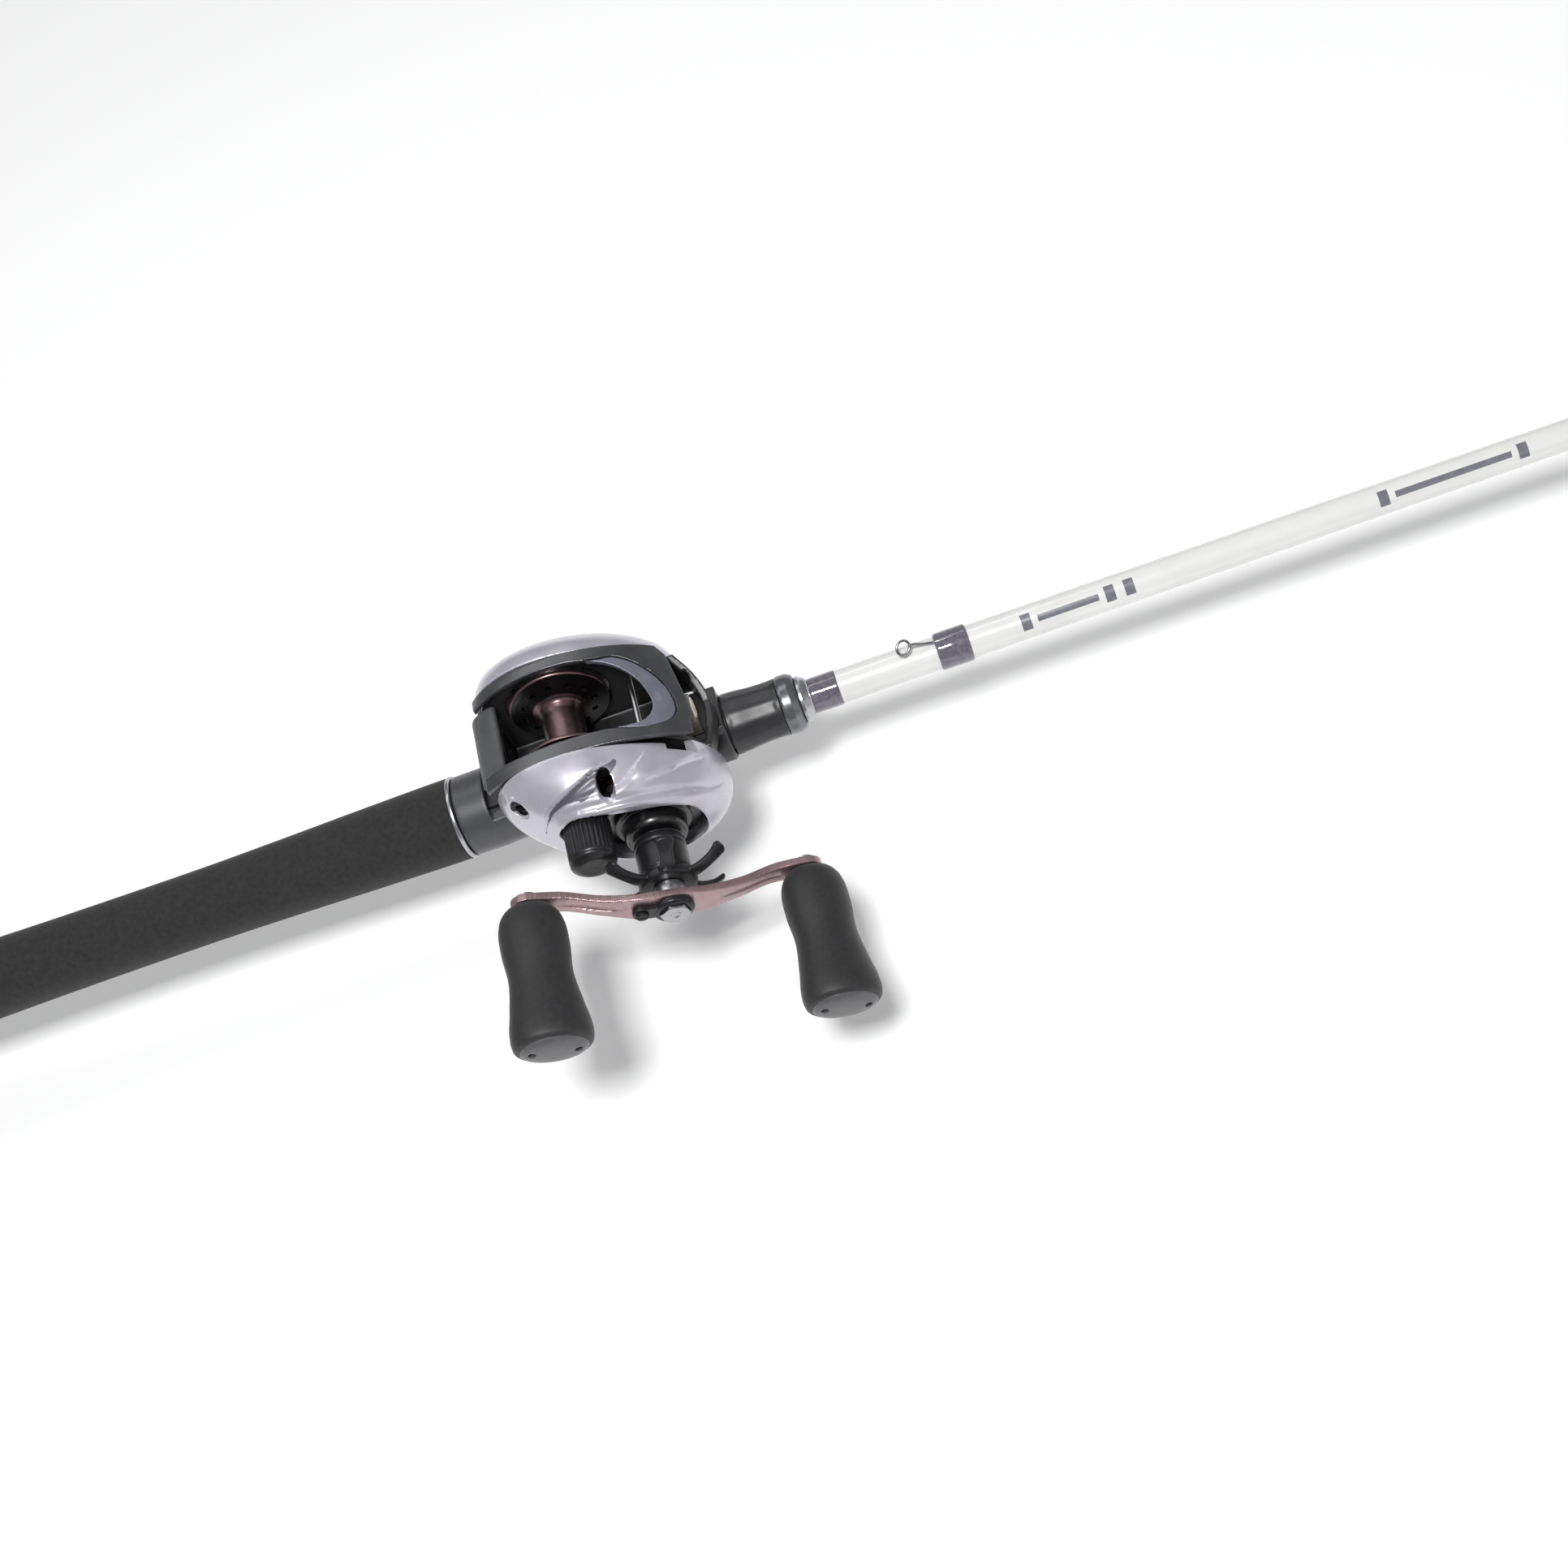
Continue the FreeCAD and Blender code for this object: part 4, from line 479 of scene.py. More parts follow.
# ---- rod ----------------------------------------------------------------------------------------
def rod_pieces():
    butt = -REEL
    outline = [(butt + x, r) for x, r in [(-4, 0), (-4, 6), (-3.2, 9.6), (-1.6, 11.9), (0, 13.0), (9, 13.0),
                                          (9.5, 12.75), (10.5, 12.75), (11, 13.0), (22, 13.0), (22, 11.05),
                                          (6, 11.05), (6, 0)]]
    use(lathe("x", (0, 0), rounded(outline, 0.5)), "butt_end", BODY, M["butt"], ["butt_cap"])

    shape = [(22.1, 12.7), (45, 12.5), (90, 11.8), (134, 11.6), (160, 11.9), (190, 12.5), (212, 12.85),
             (220.2, 12.9)]
    outside = smooth_line([(butt + x, r) for x, r in shape], per=8)
    outline = outside + [(-44.8, 6.0), (butt + 6.2, 6.0), (butt + 6.2, 11.0), (butt + 22.0, 11.0)]
    use(annulus("x", (0, 0), outline, 0.25, segs=160),
        "rear_grip_foam", BODY, M["foam"], ["rear_grip"])

    ring = [(-44.7, 12.9), (-44.3, 13.1), (-43.6, 13.1), (-43.3, 12.7), (-43.3, 5.8), (-44.7, 5.8)]
    use(annulus("x", (0, 0), ring, 0.2, segs=160),
        "grip_ring_bright", BODY, M["silver"], ["grip_trim_ring"])

    stations = np.linspace(-243, ROD_END - REEL, 90)
    outside = [(x, blank_radius(x)) for x in stations]
    outline = outside + [(ROD_END - REEL, 0.0), (1500 - REEL, 0.0), (1500 - REEL, 1.1), (-243, 4.8)]
    use(lathe("x", (0, 0), outline, segs=96, closed=True), "blank_tube", BODY, M["blank"],
        ["blank"])
    # plain bars painted on the blank in place of lettering
    bars = []
    for x0, x1, half in [(136, 139, 0.5), (141, 160, 0.2), (162, 165, 0.5), (168, 171, 0.5), (246, 249, 0.5),
                         (251, 286, 0.2), (288, 291, 0.5)]:
        rings = []
        for x in np.linspace(x0, x1, 8):
            lean = -0.62
            arc = []
            for lift in (0.03, -0.25):
                span = np.linspace(-half, half, 13) if lift > 0 else np.linspace(half, -half, 13)
                r = blank_radius(x) + lift
                arc += [(x, r * sin(lean + a), r * cos(lean + a)) for a in span]
            rings.append(arc)
        bars.append(loft(rings))
    use(merge(bars), "blank_plain_bars", BODY, M["mark"])

    sleeves = []
    wraps = [(69.4, 78.4, 0.16, 0.0), (109.6, 119.8, 0.55, 0.35)]
    for back, ring_r, lift in GUIDES:
        x = ROD_END - back - REEL
        for side in ((1, -1) if ring_r >= 5 else (1,)):
            ends = sorted((x + side * 9.5, x + side * 21))
            wraps.append((ends[0], ends[1], 0.72, 0.42))
    for x0, x1, thick, lift in wraps:
        inner = blank_radius(x0) + 0.02
        outline = [(x0, inner + 0.35 * thick), (x0 + 0.5, inner + thick), (x1 - 0.5, inner + thick),
                   (x1, inner + 0.35 * thick), (x1, inner - 0.25), (x0, inner - 0.25)]
        sleeve = annulus("x", (0, 0), outline, 0.4, segs=72)
        for v in sleeve.data.vertices:
            if v.co.z > 0:
                v.co.z += lift * 0.001 * min(1.0, v.co.z * 1000 / inner)
        sleeves.append(sleeve)
    use(merge(sleeves), "thread_bindings", BODY, M["thread"], ["thread_wraps"])

    outline = [(66.1, 7.3), (67.2, 7.3), (67.5, 6.9), (69.2, 6.1), (69.2, 5.45), (66.1, 5.45)]
    use(annulus("x", (0, 0), outline, 0.25), "winding_check_ring", BODY,
        M["silver"], ["winding_check"])

    rings = []
    for back, ring_r, lift in GUIDES:
        x = ROD_END - back - REEL
        outer, bore = ring_r - 0.92, ring_r - 1.9
        outline = [(-0.85, outer), (0.85, outer), (1.1, outer - 0.3), (0.8, bore + 0.12), (0.5, bore),
                   (-0.5, bore), (-0.8, bore + 0.12), (-1.1, outer - 0.3)]
        rings.append(lathe("x", (0, blank_radius(x) + lift),
                           rounded([(x + t, r) for t, r in outline], 0.2, closed=True, steps=2), segs=64,
                           closed=True))
    tip = ROD_END - REEL + 3.5
    outline = [(-0.8, 2.4), (0.8, 2.4), (1.0, 2.0), (0.4, 1.45), (-0.4, 1.45), (-1.0, 2.0)]
    rings.append(lathe("x", (0, 5.2), rounded([(tip + t, r) for t, r in outline], 0.2, closed=True, steps=2),
                       segs=64, closed=True))
    use(merge(rings), "guide_ring_inserts", BODY, M["dark_ring"], ["guide_rings"])

    top = blank_radius(115) + 0.5
    eye = [(100.4 + 2.0 * cos(a), 2.0 * sin(a), top + 2.6 + 2.0 * (0.25 * cos(a) + 0.35 * sin(a)))
           for a in np.linspace(-0.15, 2 * pi - 0.35, 40)]
    shank = smooth_line([(118, 0, top), (112, 0, top + 0.05), (109, 0, top + 0.2), (106, 0, top + 1.2),
                         (103.3, 0.1, top + 2.6)], per=6)[:-1]
    path = list(reversed(eye))
    wire = merge([tube(shank + [(102.4, -0.2, top + 3.05)], 0.45), tube(path, 0.42)])
    use(wire, "hook_keeper_wire", BODY, M["wire"], ["hook_keeper"])


# ---- seat ---------------------------------------------------------------------------------------
def seat_pieces():
    start = -43.2
    outline = [(start, 12.5), (-33, 12.6), (-30, 12.35), (-18, 12.0), (-6, 11.6), (6, 11.0), (18, 10.2),
               (29, 9.0), (38, 9.0), (38.6, 7.6), (66, 7.6), (66, 5.8), (start, 5.8)]
    barrel = annulus("x", (0, 0), outline, 0.8, segs=160)
    cut(barrel, block(-33, 40, -15, 15, 7.4, 20), block(-40.2, -32, -6.3, 6.3, 7.4, 9.7))
    hook = smooth_line([(-31, -9), (-24, -13), (-19, -22), (-15.5, -30), (-12.3, -32), (-10.2, -29.5),
                        (-10.8, -23), (-11.5, -16), (-7, -10), (-18, -6)], closed=True)
    trigger = cut(prism(hook, "y", -3.1, 3.1), rod("x", (0, 0), -45, 12, 6.3))
    join(barrel, trigger)
    use(soften(barrel, 0.42, 4), "reel_seat_body", BODY, M["seat"], ["reel_seat"])

    outline = [(31.5, 10.2), (32.5, 10.6), (41.9, 10.6), (42.7, 9.9), (42.7, 9.1), (31.5, 9.1)]
    collar = lathe("x", (0, 0), outline, segs=160, closed=True)
    roof = cut(block(31.5, 42.7, -7.6, 7.6, 6.5, 11.4), rod("x", (0, 0), 30, 44, 9.1))
    join(collar, roof)
    cut(collar, block(30, 39.6, -6.4, 6.4, 7.1, 9.9))
    use(soften(collar, 0.25, 4), "sliding_hood_shell", "hood", M["nut"], ["sliding_hood"])

    outline = smooth_line([(43.4, 9.6), (47, 9.5), (52, 9.0), (57, 8.85), (60.2, 8.95)], per=6)
    outline = [(43.0, 9.3)] + outline + [(60.2, 7.7), (43.0, 7.7)]

    def fluted(t, r, turns):
        depth = 0.16 * np.clip(min(t - 44.2, 59.2 - t), 0, 1)
        return -depth * (0.5 + 0.5 * np.cos(turns * 12)) if r > 8 else 0 * turns
    use(lathe("x", (0, 0), rounded(outline, 0.3, closed=True), segs=240, closed=True, ripple=fluted),
        "lock_nut_grip", "nut", M["nut"], ["lock_nut"])
    outline = [(60.3, 8.95), (61.2, 9.25), (63.6, 9.25), (65.6, 8.4), (65.6, 7.7), (60.3, 7.7)]
    use(annulus("x", (0, 0), outline, 0.3, segs=160),
        "nut_bevel_ring", "nut", M["trim"], ["nut_trim_ring"])


# ---- reel body ----------------------------------------------------------------------------------
LEFT_TILT, RIGHT_TILT = radians(-18), radians(-28)
LEFT = [(13.5, 4.6, 22.6, 31.4, 20.4), (17, 4.6, 22.5, 30.8, 19.8), (21, 4.4, 22.2, 28.6, 17.8),
        (24.6, 4.0, 22.0, 23.4, 14.4), (26.8, 3.4, 22.0, 17.6, 10.8)]
RIGHT = [(-17.5, 7.8, 18.2, 35.2, 22.6), (-21, 8.2, 17.8, 35.2, 22.7), (-26, 9.0, 17.4, 33.6, 21.8),
         (-31, 10.2, 17.2, 29.8, 19.8), (-35, 11.2, 17.4, 25.0, 17.2), (-37, 11.8, 17.6, 21.6, 15.2)]
COWL_LEFT = (13.3, 5.4, 21.6, 34.5, 21.6, radians(-12))
COWL_RIGHT = (-20.4, 9.0, 18.2, 43.0, 22.6, radians(-11))
OPENING = [(-8.8, 26.0), (-4.4, 33.0), (3.6, 33.8), (11, 30.4), (22, 27.0), (29.6, 20.6), (31.0, 11.0),
           (27.4, 3.4), (18, 0.6), (8, 3.4), (-2, 12.6)]
SCREWS = [(-17.2, 34.4), (9.2, 37.4)]
WINDOW = [(-8, 9.7), (8, 9.6), (18, 7.0), (24.5, 1.0), (27.4, -7.0), (26.9, -11.2), (24.4, -14.1),
          (20, -15.2), (14, -15.4)]
# the crank-side cover's creases: a line on the cover, how proud (mm) the face beside it stands, how
# far (mm) that fades, and which side of the line it is on
CREASES = [
    ([(14.2, -25.8, 39.0), (9.0, -28.0, 40.0), (4.7, -29.4, 40.3), (-1.3, -31.6, 39.1), (-7.2, -32.9, 36.3),
      (-10.4, -34.0, 32.3), (-12.8, -34.5, 27.5)], 1.2, 7.0, 1),
    ([(27.5, -21.5, 33.0), (21.3, -25.6, 35.5), (16.5, -30.5, 36.3), (11.8, -33.5, 36.5), (5.7, -34.3, 37.1),
      (-1.6, -34.2, 36.9), (-7.5, -34.1, 34.5), (-10.9, -34.3, 31.1), (-12.6, -34.6, 27.0)], 0.9, 5.0, -1),
    ([(40.0, -27.0, 12.0), (37.1, -31.0, 15.7), (28.8, -34.6, 25.6), (19.8, -36.0, 31.1), (10.6, -36.3, 34.0),
      (0.9, -35.9, 35.0), (-4.4, -35.4, 34.0), (-9.1, -35.3, 30.0), (-11.5, -35.2, 26.0)], 1.1, 4.0, -1),
    ([(37.5, -21.0, 20.5), (31.3, -25.7, 27.2), (22.5, -30.6, 32.6), (16.4, -33.4, 34.6)], 1.0, 5.0, 1),
]


def curve_at(sections, y):
    """Section values at a station between the given ones."""
    stations = [s[0] for s in sections]
    rows = np.array([s[1:] for s in sections])
    order = np.argsort(stations)
    xs = np.array(stations)[order]
    return [cubic(xs, rows[order][:, k], y) for k in range(4)]


def cubic(xs, ys, x):
    """Smooth cubic through points, with finite-difference slopes."""
    slopes = np.gradient(ys, xs)
    i = int(np.clip(np.searchsorted(xs, x) - 1, 0, len(xs) - 2))
    h = xs[i + 1] - xs[i]
    t = (x - xs[i]) / h
    return ((2 * t ** 3 - 3 * t ** 2 + 1) * ys[i] + (t ** 3 - 2 * t ** 2 + t) * h * slopes[i]
            + (-2 * t ** 3 + 3 * t ** 2) * ys[i + 1] + (t ** 3 - t ** 2) * h * slopes[i + 1])


def dome(sections, tilt, inset=0.0, grow=0.0, cap=0.0):
    """Smooth closed shell body through the sections; cap rounds its outer edge."""
    count, n = 60, 300
    first, last = sections[0][0], sections[-1][0]
    rings = []
    if grow:
        y, cx, cz, a, b = sections[0]
        rings.append(ellipse(y + grow, cx, cz, a - inset, b - inset, tilt, n))
    for y in np.linspace(first, last, count):
        cx, cz, a, b = curve_at(sections, y)
        rings.append(ellipse(y, cx, cz, a - inset, b - inset, tilt, n))
    if cap:
        sign = 1 if last > first else -1
        y, cx, cz, a, b = sections[-1]
        for k in range(1, 7):
            t = k / 6 * pi / 2
            back = cap * 1.6 * (1 - cos(t))
            rings.append(ellipse(last + sign * cap * 0.25 * sin(t), cx, cz, a - inset - back,
                                 b - inset - back, tilt, n))
        for k in (0.8, 0.5, 0.2):
            rings.append(ellipse(last + sign * cap * 0.25, cx, cz, (a - cap * 1.6) * k, (b - cap * 1.6) * k,
                                 tilt, n))
    return loft(rings)


def beside(line, p):
    """Distance of points from a smooth line, their side of it and how far along they are."""
    path = np.array(smooth_line(line, per=8))
    count, total = len(p), len(path) - 1
    best, sign, along = np.full(count, 1e9), np.zeros(count), np.zeros(count)
    forward = 1 if path[-1][0] > path[0][0] else -1
    for i in range(total):
        a, b = path[i], path[i + 1]
        ab = b - a
        t = np.clip(((p - a) @ ab) / (ab @ ab), 0, 1)
        d = np.linalg.norm(p - (a + t[:, None] * ab), axis=1)
        cross = ab[0] * (p[:, 2] - a[2]) - ab[2] * (p[:, 0] - a[0])
        near = d < best
        best = np.where(near, d, best)
        sign = np.where(near, np.sign(cross) * forward, sign)
        along = np.where(near, (i + t) / total, along)
    return best, sign, along


def sculpt(thing):
    """Presses the flowing creases into the crank-side cover."""
    mesh = thing.data
    count = len(mesh.vertices)
    co = np.empty(count * 3)
    mesh.vertices.foreach_get("co", co)
    co = co.reshape(-1, 3)
    nr = np.empty(count * 3)
    mesh.vertices.foreach_get("normal", nr)
    nr = nr.reshape(-1, 3)
    p = co * 1000
    p[:, 0] -= REEL
    move = np.zeros(count)
    for line, rise, fade, side in CREASES:
        best, sign, along = beside(line, p)
        signed = best * sign * side
        ends = np.clip(along * 4, 0, 1) * np.clip((1 - along) * 4, 0, 1)
        step = 1 / (1 + np.exp(-signed / 0.50))
        proud = rise * step * np.exp(-np.clip(signed, 0, None) / fade)
        ditch = -0.5 * rise * np.exp(-(signed + 0.8) ** 2 / 1.6)
        move += (proud + ditch) * (3 * ends ** 2 - 2 * ends ** 3)
    move *= np.clip((-p[:, 1] - 18.0) / 3.0, 0, 1)
    co += nr * (move * 0.001)[:, None]
    mesh.vertices.foreach_set("co", co.ravel())
    mesh.update()


def paint_scoop_shade(thing):
    """Paints shade on the sunken band below the upper wing: its faces get the darker grey material."""
    centres = np.array([f.center for f in thing.data.polygons]) * 1000
    centres[:, 0] -= REEL
    far, sign, along = beside(CREASES[0][0], centres)
    sign2 = beside(CREASES[1][0], centres)[1]
    width = 4.6 * np.sin(np.clip(along, 0, 1) * pi) ** 0.6
    # faces inside the scoop band take the painted shade material
    dark = (sign * CREASES[0][3] < 0) & (far < width) & (sign2 * CREASES[1][3] < 0) & (centres[:, 1] < -21)
    for face, in_painted_shade in zip(thing.data.polygons, dark):
        face.material_index = int(in_painted_shade)


def crank_side():
    outer = dome(RIGHT, RIGHT_TILT, inset=0.35, cap=1.2)
    sculpt(outer)
    inner = dome(RIGHT[:-1], RIGHT_TILT, inset=1.9, grow=1.0)
    opening = prism(smooth_line(OPENING, closed=True, per=14), "y", -42, -28)
    under = block(-40, 60, -20.75, -16, 28.2, 60)
    notch = prism([(24.0, 28.6), (28, 26.4), (38, 23.6), (60, 23.6), (60, 60), (32, 60), (30.0, 33.5)], "y",
                  -22.6, -15)
    seam = prism([(20, 31), (24.2, 28.5), (30.2, 33.4), (31, 60), (20, 60)], "y", -20.75, -15)
    cut(outer, inner, opening, under, notch, seam)
    recess = -27.0
    for x, z in SCREWS:
        post = rod("y", (x, z), -26.2, -20.8, 3.4, segs=48)
        join(outer, post)
        cut(outer, lathe("y", (x, z), [(recess, 0), (recess, 2.3), (-44, 2.6), (-44, 0)], segs=64))
        cut(outer, rod("y", (x, z), -15, -44, 1.3, segs=32))
    soften(outer, 0.28, 3)
    # the cover's second material is the painted shade of the scoop band
    use(outer, "crank_side_cover", BODY, [M["plate"], M["scoop_painted_shade"]], ["right_side_plate"],
        crease=60)
    paint_scoop_shade(outer)


def palm_side():
    outer = dome(LEFT, LEFT_TILT, inset=0.1, cap=2.4)
    inner = dome(LEFT[:-1], LEFT_TILT, inset=1.8, grow=-1.0)
    dial_x, dial_z = 3.0, 20.0
    cut(outer, inner, rod("y", (dial_x, dial_z), 20, 40, 4.05, segs=96))
    use(soften(outer, 0.34, 4), "palm_side_cover", BODY, M["plate"], ["left_side_plate"],
        crease=60)

    def fluted(t, r, turns):
        if t < 27.3 or r < 5.0:
            return 0 * turns
        return -0.45 * (0.5 + 0.5 * np.cos(turns * 16)) ** 2
    outline = [(21.6, 0), (21.6, 4.0), (27.1, 4.0), (27.1, 7.0), (27.6, 7.2), (28.6, 6.8), (29.0, 6.2),
               (28.7, 5.2), (28.7, 0)]
    face = lathe("y", (dial_x, dial_z), rounded(outline, 0.25), segs=320, ripple=fluted)
    bar = block(dial_x - 4.6, dial_x + 4.6, 28.2, 29.0, dial_z - 0.8, dial_z + 0.8)
    bevel = bar.modifiers.new("v", "BEVEL")
    bevel.width = 0.0003
    bevel.segments = 3
    settle(bar)
    use(merge([face, bar]), "brake_dial_face", "dial", M["dial"], ["brake_dial"])


def cowl_room(inset):
    """Room inside the cowl's outer surface, running on past both of its ends."""
    rings = []
    for (y, cx, cz, a, b, tilt), past in ((COWL_LEFT, 0.5), (COWL_RIGHT, -0.5)):
        rings.append(ellipse(y + past, cx, cz, a - inset, b - inset, tilt))
    return loft(rings)


def cowl_pieces():
    outer = loft([ellipse(*COWL_LEFT), ellipse(*COWL_RIGHT)])
    cut(outer, cowl_room(1.7))
    window = smooth_line(WINDOW, per=10) + [(-45, -15.4), (-45, 9.7)]
    arc = smooth_line([(31, 14), (35.6, 7.0), (37.5, -2), (37.9, -12), (37.8, -21)], per=8)
    around = prism(arc + [(-25, -21), (-25, 14)], "z", 0, 60)
    keep(outer, around)
    cut(outer, block(-40, 60, -30, 30, -30, 28.5), prism(window, "z", 20, 60),
        block(21, 45, -22, -14.5, 0, 31.5), block(28, 45, -30, 30, 0, 30.6))
    panel = [(15.2, 9.2), (20, 9.3), (25.6, 6.2), (30.6, 0.4), (33.2, -6.5), (33.4, -12.0), (31.0, -15.4),
             (25.0, -17.0), (20.5, -16.6)]
    rim = smooth_line(panel, per=8)
    groove = prism(rim + [(12, -15.0), (12, 9.4)], "z", 20, 60)
    copy = outer.copy()
    copy.data = outer.data.copy()
    bpy.context.collection.objects.link(copy)
    middle_x, middle_y = 24.0, -4.0
    small = [(middle_x + (x - middle_x) * 0.965, middle_y + (y - middle_y) * 0.975) for x, y in rim]
    keep(copy, prism(small + [(12, -14.6), (12, 9.1)], "z", 20, 60))
    cut(outer, groove)
    use(soften(outer, 0.26, 4), "cowl_band", BODY, M["cowl"], ["cowl"], crease=60)
    moved(copy, 0, 0, -0.35)
    mark_x = 29.4
    mark = prism([(mark_x, -4.6), (mark_x + 0.9, -5.6), (mark_x + 0.9, -8.0), (mark_x, -9.0),
                       (mark_x - 0.9, -8.0), (mark_x - 0.9, -5.6)], "z", 33.4, 60)
    sunk = copy.copy()
    sunk.data = copy.data.copy()
    bpy.context.collection.objects.link(sunk)
    keep(sunk, mark)
    moved(sunk, 0, 0, 0.1)
    use(soften(copy, 0.22, 4), "cowl_inlay", BODY, M["insert"], crease=60)
    use(sunk, "cowl_inlay_plain_mark", BODY, M["mark"])


def frame_pieces():
    walls = []
    for (y, cx, cz, a, b), tilt, y0, y1 in ((LEFT[0], LEFT_TILT, 10.6, 13.2),
                                            (RIGHT[0], RIGHT_TILT, -17.2, -14.8)):
        wall = loft([ellipse(y0, cx, cz, a - 1.8, b - 1.8, tilt), ellipse(y1, cx, cz, a - 1.8, b - 1.8,
                                                                          tilt)])
        cut(wall, block(-60, 60, y0 - 1, y1 + 1, -40, 9.2))
        walls.append(wall)
    body = walls[0]
    cut(body, rod("y", SPOOL, 8, 15, 15.7, segs=160))
    right = cut(walls[1], rod("y", SPOOL, -19, -13, 3.5, segs=64))
    join(right, rod("y", DRIVE, -18.6, -16, 4.6, segs=64))
    cut(right, rod("y", DRIVE, -20, -15.4, 3.3, segs=64),
        rod("y", WORM, -19, -13, 1.55, segs=48),
        block(-21.3, -18.8, -18.5, -13, 20.9, 28.5))
    cut(body, rod("y", WORM, 9, 15, 1.55, segs=48))
    join(body, cut(block(-24.5, -8.0, 10.6, 13.15, 9.3, 19.9),
                   rod("y", SPOOL, 8, 15, 15.7, segs=160)))
    join(body, block(-23, 31.1, -15.6, 11.4, 9.2, 10.2), block(-24.6, -21, -15.6, 11.4, 9.2, 20.8))
    join(body, right)
    room = block(-60, 60, -30, 30, 28.3, 80)
    cut(body, cut(room, cowl_room(1.9)))
    outer = smooth_line([(35.2, 13.2), (39.6, 6.0), (41.8, -2), (40.8, -10.5), (38.6, -17.2)], per=10)
    inner = smooth_line([(36.0, -17.2), (38.3, -10.5), (39.2, -2), (37.0, 6.0), (32.4, 13.2)], per=10)
    guard = prism(outer + inner, "z", 12.2, 26.2)
    above = prism([(30, 32), (14, 26.2), (-2, 18.6), (-30, 17.8), (-30, 50), (30, 50)], "x", 20, 60)
    cut(guard, above, block(32, 37.35, -14.8, 8.1, 14.9, 30), block(32, 37.75, -14.8, 7.1, 20.8, 30))
    join(body, guard, block(31.1, 36.5, 7.3, 11.4, 12.3, 13.1))
    use(soften(body, 0.36, 3), "frame_casting", BODY, M["frame"], ["frame"], crease=60)

    bar = lathe("y", (21.4, 29.6), rounded([(-15.7, 0), (-15.7, 1.0), (11.5, 1.0), (11.5, 0)], 0.1), segs=64)
    use(bar, "line_bar_polished", BODY, M["steel"], ["line_bar"])


def cover_pieces():
    mx, mz = 13.5, 14.5
    outline = [(mx + (x - mx) * 0.985, mz + (z - mz) * 0.985) for x,
               z in smooth_line(OPENING, closed=True, per=14)]
    plate = prism(outline, "y", -32.4, -30.4)
    boss = lathe("y", DRIVE, rounded([(-28.4, 0), (-28.4, 9.4), (-38.2, 9.4), (-39.6, 8.6),
                                                        (-39.6, 0)], 0.6), segs=128)
    ring = lathe("y", DRIVE, [(-32.0, 9.0), (-33.8, 11.4), (-34.4, 11.4), (-34.4, 9.0)], segs=128,
                 closed=True)
    neck = rod("y", SPOOL, -30.6, -41, 5.6, segs=96)
    rib = smooth_line([(2, 21.5), (6.5, 26.0), (14, 27.2), (22, 23.5), (26.5, 16.0), (24.9, 15.0),
                       (20.9, 21.8), (13.8, 25.2), (7.5, 24.2), (3.2, 20.2)], closed=True, per=8)
    join(plate, boss, neck, prism(rib, "y", -33.6, -31.8))
    join(plate, ring)
    cut(plate, lathe("y", DRIVE, [(-27, 0), (-27, 6.55), (-36.8, 6.55), (-36.8, 4.2), (-42, 4.2), (-42, 0)]),
        lathe("y", SPOOL, [(-27, 0), (-27, 3.2), (-36, 3.2), (-36, 4.02), (-45, 4.02), (-45, 0)]))
    use(soften(plate, 0.26, 3), "gear_cover_black", BODY, M["cover"], ["gear_cover"],
        crease=60)


def cast_cap_piece():
    def knurl(t, r, turns):
        if r < 6.6 or not -46.4 < t < -36.0:
            return 0 * turns
        return -0.28 * (0.5 + 0.5 * np.cos(turns * 30)) ** 2
    outline = [(-34.6, 6.3), (-35.2, 6.9), (-36.0, 6.9), (-36.3, 6.9), (-46.1, 6.9), (-46.8, 6.9),
               (-47.3, 6.6), (-47.6, 6.85), (-48.2, 6.6), (-49.0, 5.2), (-49.3, 4.2), (-49.1, 2.2),
               (-49.05, 0), (-42.4, 0), (-42.4, 5.68), (-34.6, 5.68)]
    cap = lathe("y", SPOOL, rounded(outline, 0.3) + [outline[0]], segs=360, ripple=knurl)
    use(cap, "cast_control_knob", "cast_cap", M["black_alloy"], ["cast_control_cap"])


def spool_pieces():
    left, right = 10.0, -14.0
    outline = [(left, 15.2), (left - 1.2, 15.2), (left - 1.9, 13.0), (left - 3.2, 8.6), (left - 4.4, 6.9),
               (left - 6.4, 6.3), (right + 6.4, 6.3), (right + 4.4, 6.9), (right + 3.2, 8.6),
               (right + 1.9, 13.0), (right + 1.2, 15.2), (right, 15.2), (right, 14.4), (right + 1.0, 12.2),
               (right + 2.2, 7.6), (right + 2.2, 1.5), (left - 2.2, 1.5), (left - 2.2, 7.6),
               (left - 1.0, 12.2), (left, 14.4)]
    body = annulus("y", SPOOL, outline, 0.5, segs=180)
    for i in range(12):
        x, z = SPOOL_X + 10.6 * cos(i * pi / 6), SPOOL_Z + 10.6 * sin(i * pi / 6)
        cut(body, rod("y", (x, z), -20, 16, 1.0, segs=32))
    use(body, "spool_turned", "spool_unit", [M["spool"], M["arbor"]], ["spool"])
    for face in body.data.polygons:
        c = face.center * 1000
        r = sqrt((c.x - REEL - SPOOL_X) ** 2 + (c.z - SPOOL_Z) ** 2)
        on_arbor = right + 3.4 < c.y < left - 3.4 and r < 8.4
        on_rim = 14.3 < r and (c.y > left - 1.4 or c.y < right + 1.4)
        if on_arbor or on_rim:
            face.material_index = 1

    outline = [(18.6, 0), (18.6, 1.5), (-17.4, 1.5), (-17.4, 1.2), (-40.6, 1.2), (-41.2, 0.6), (-41.2, 0)]
    shaft = lathe("y", SPOOL, outline, segs=48)
    pin = tube([(SPOOL_X - 2.5, -18.4, SPOOL_Z), (SPOOL_X + 2.5, -18.4, SPOOL_Z)], 0.48)
    use(merge([shaft, pin]), "spool_shaft_ground", "spool_unit", M["steel"], ["spool_shaft"])


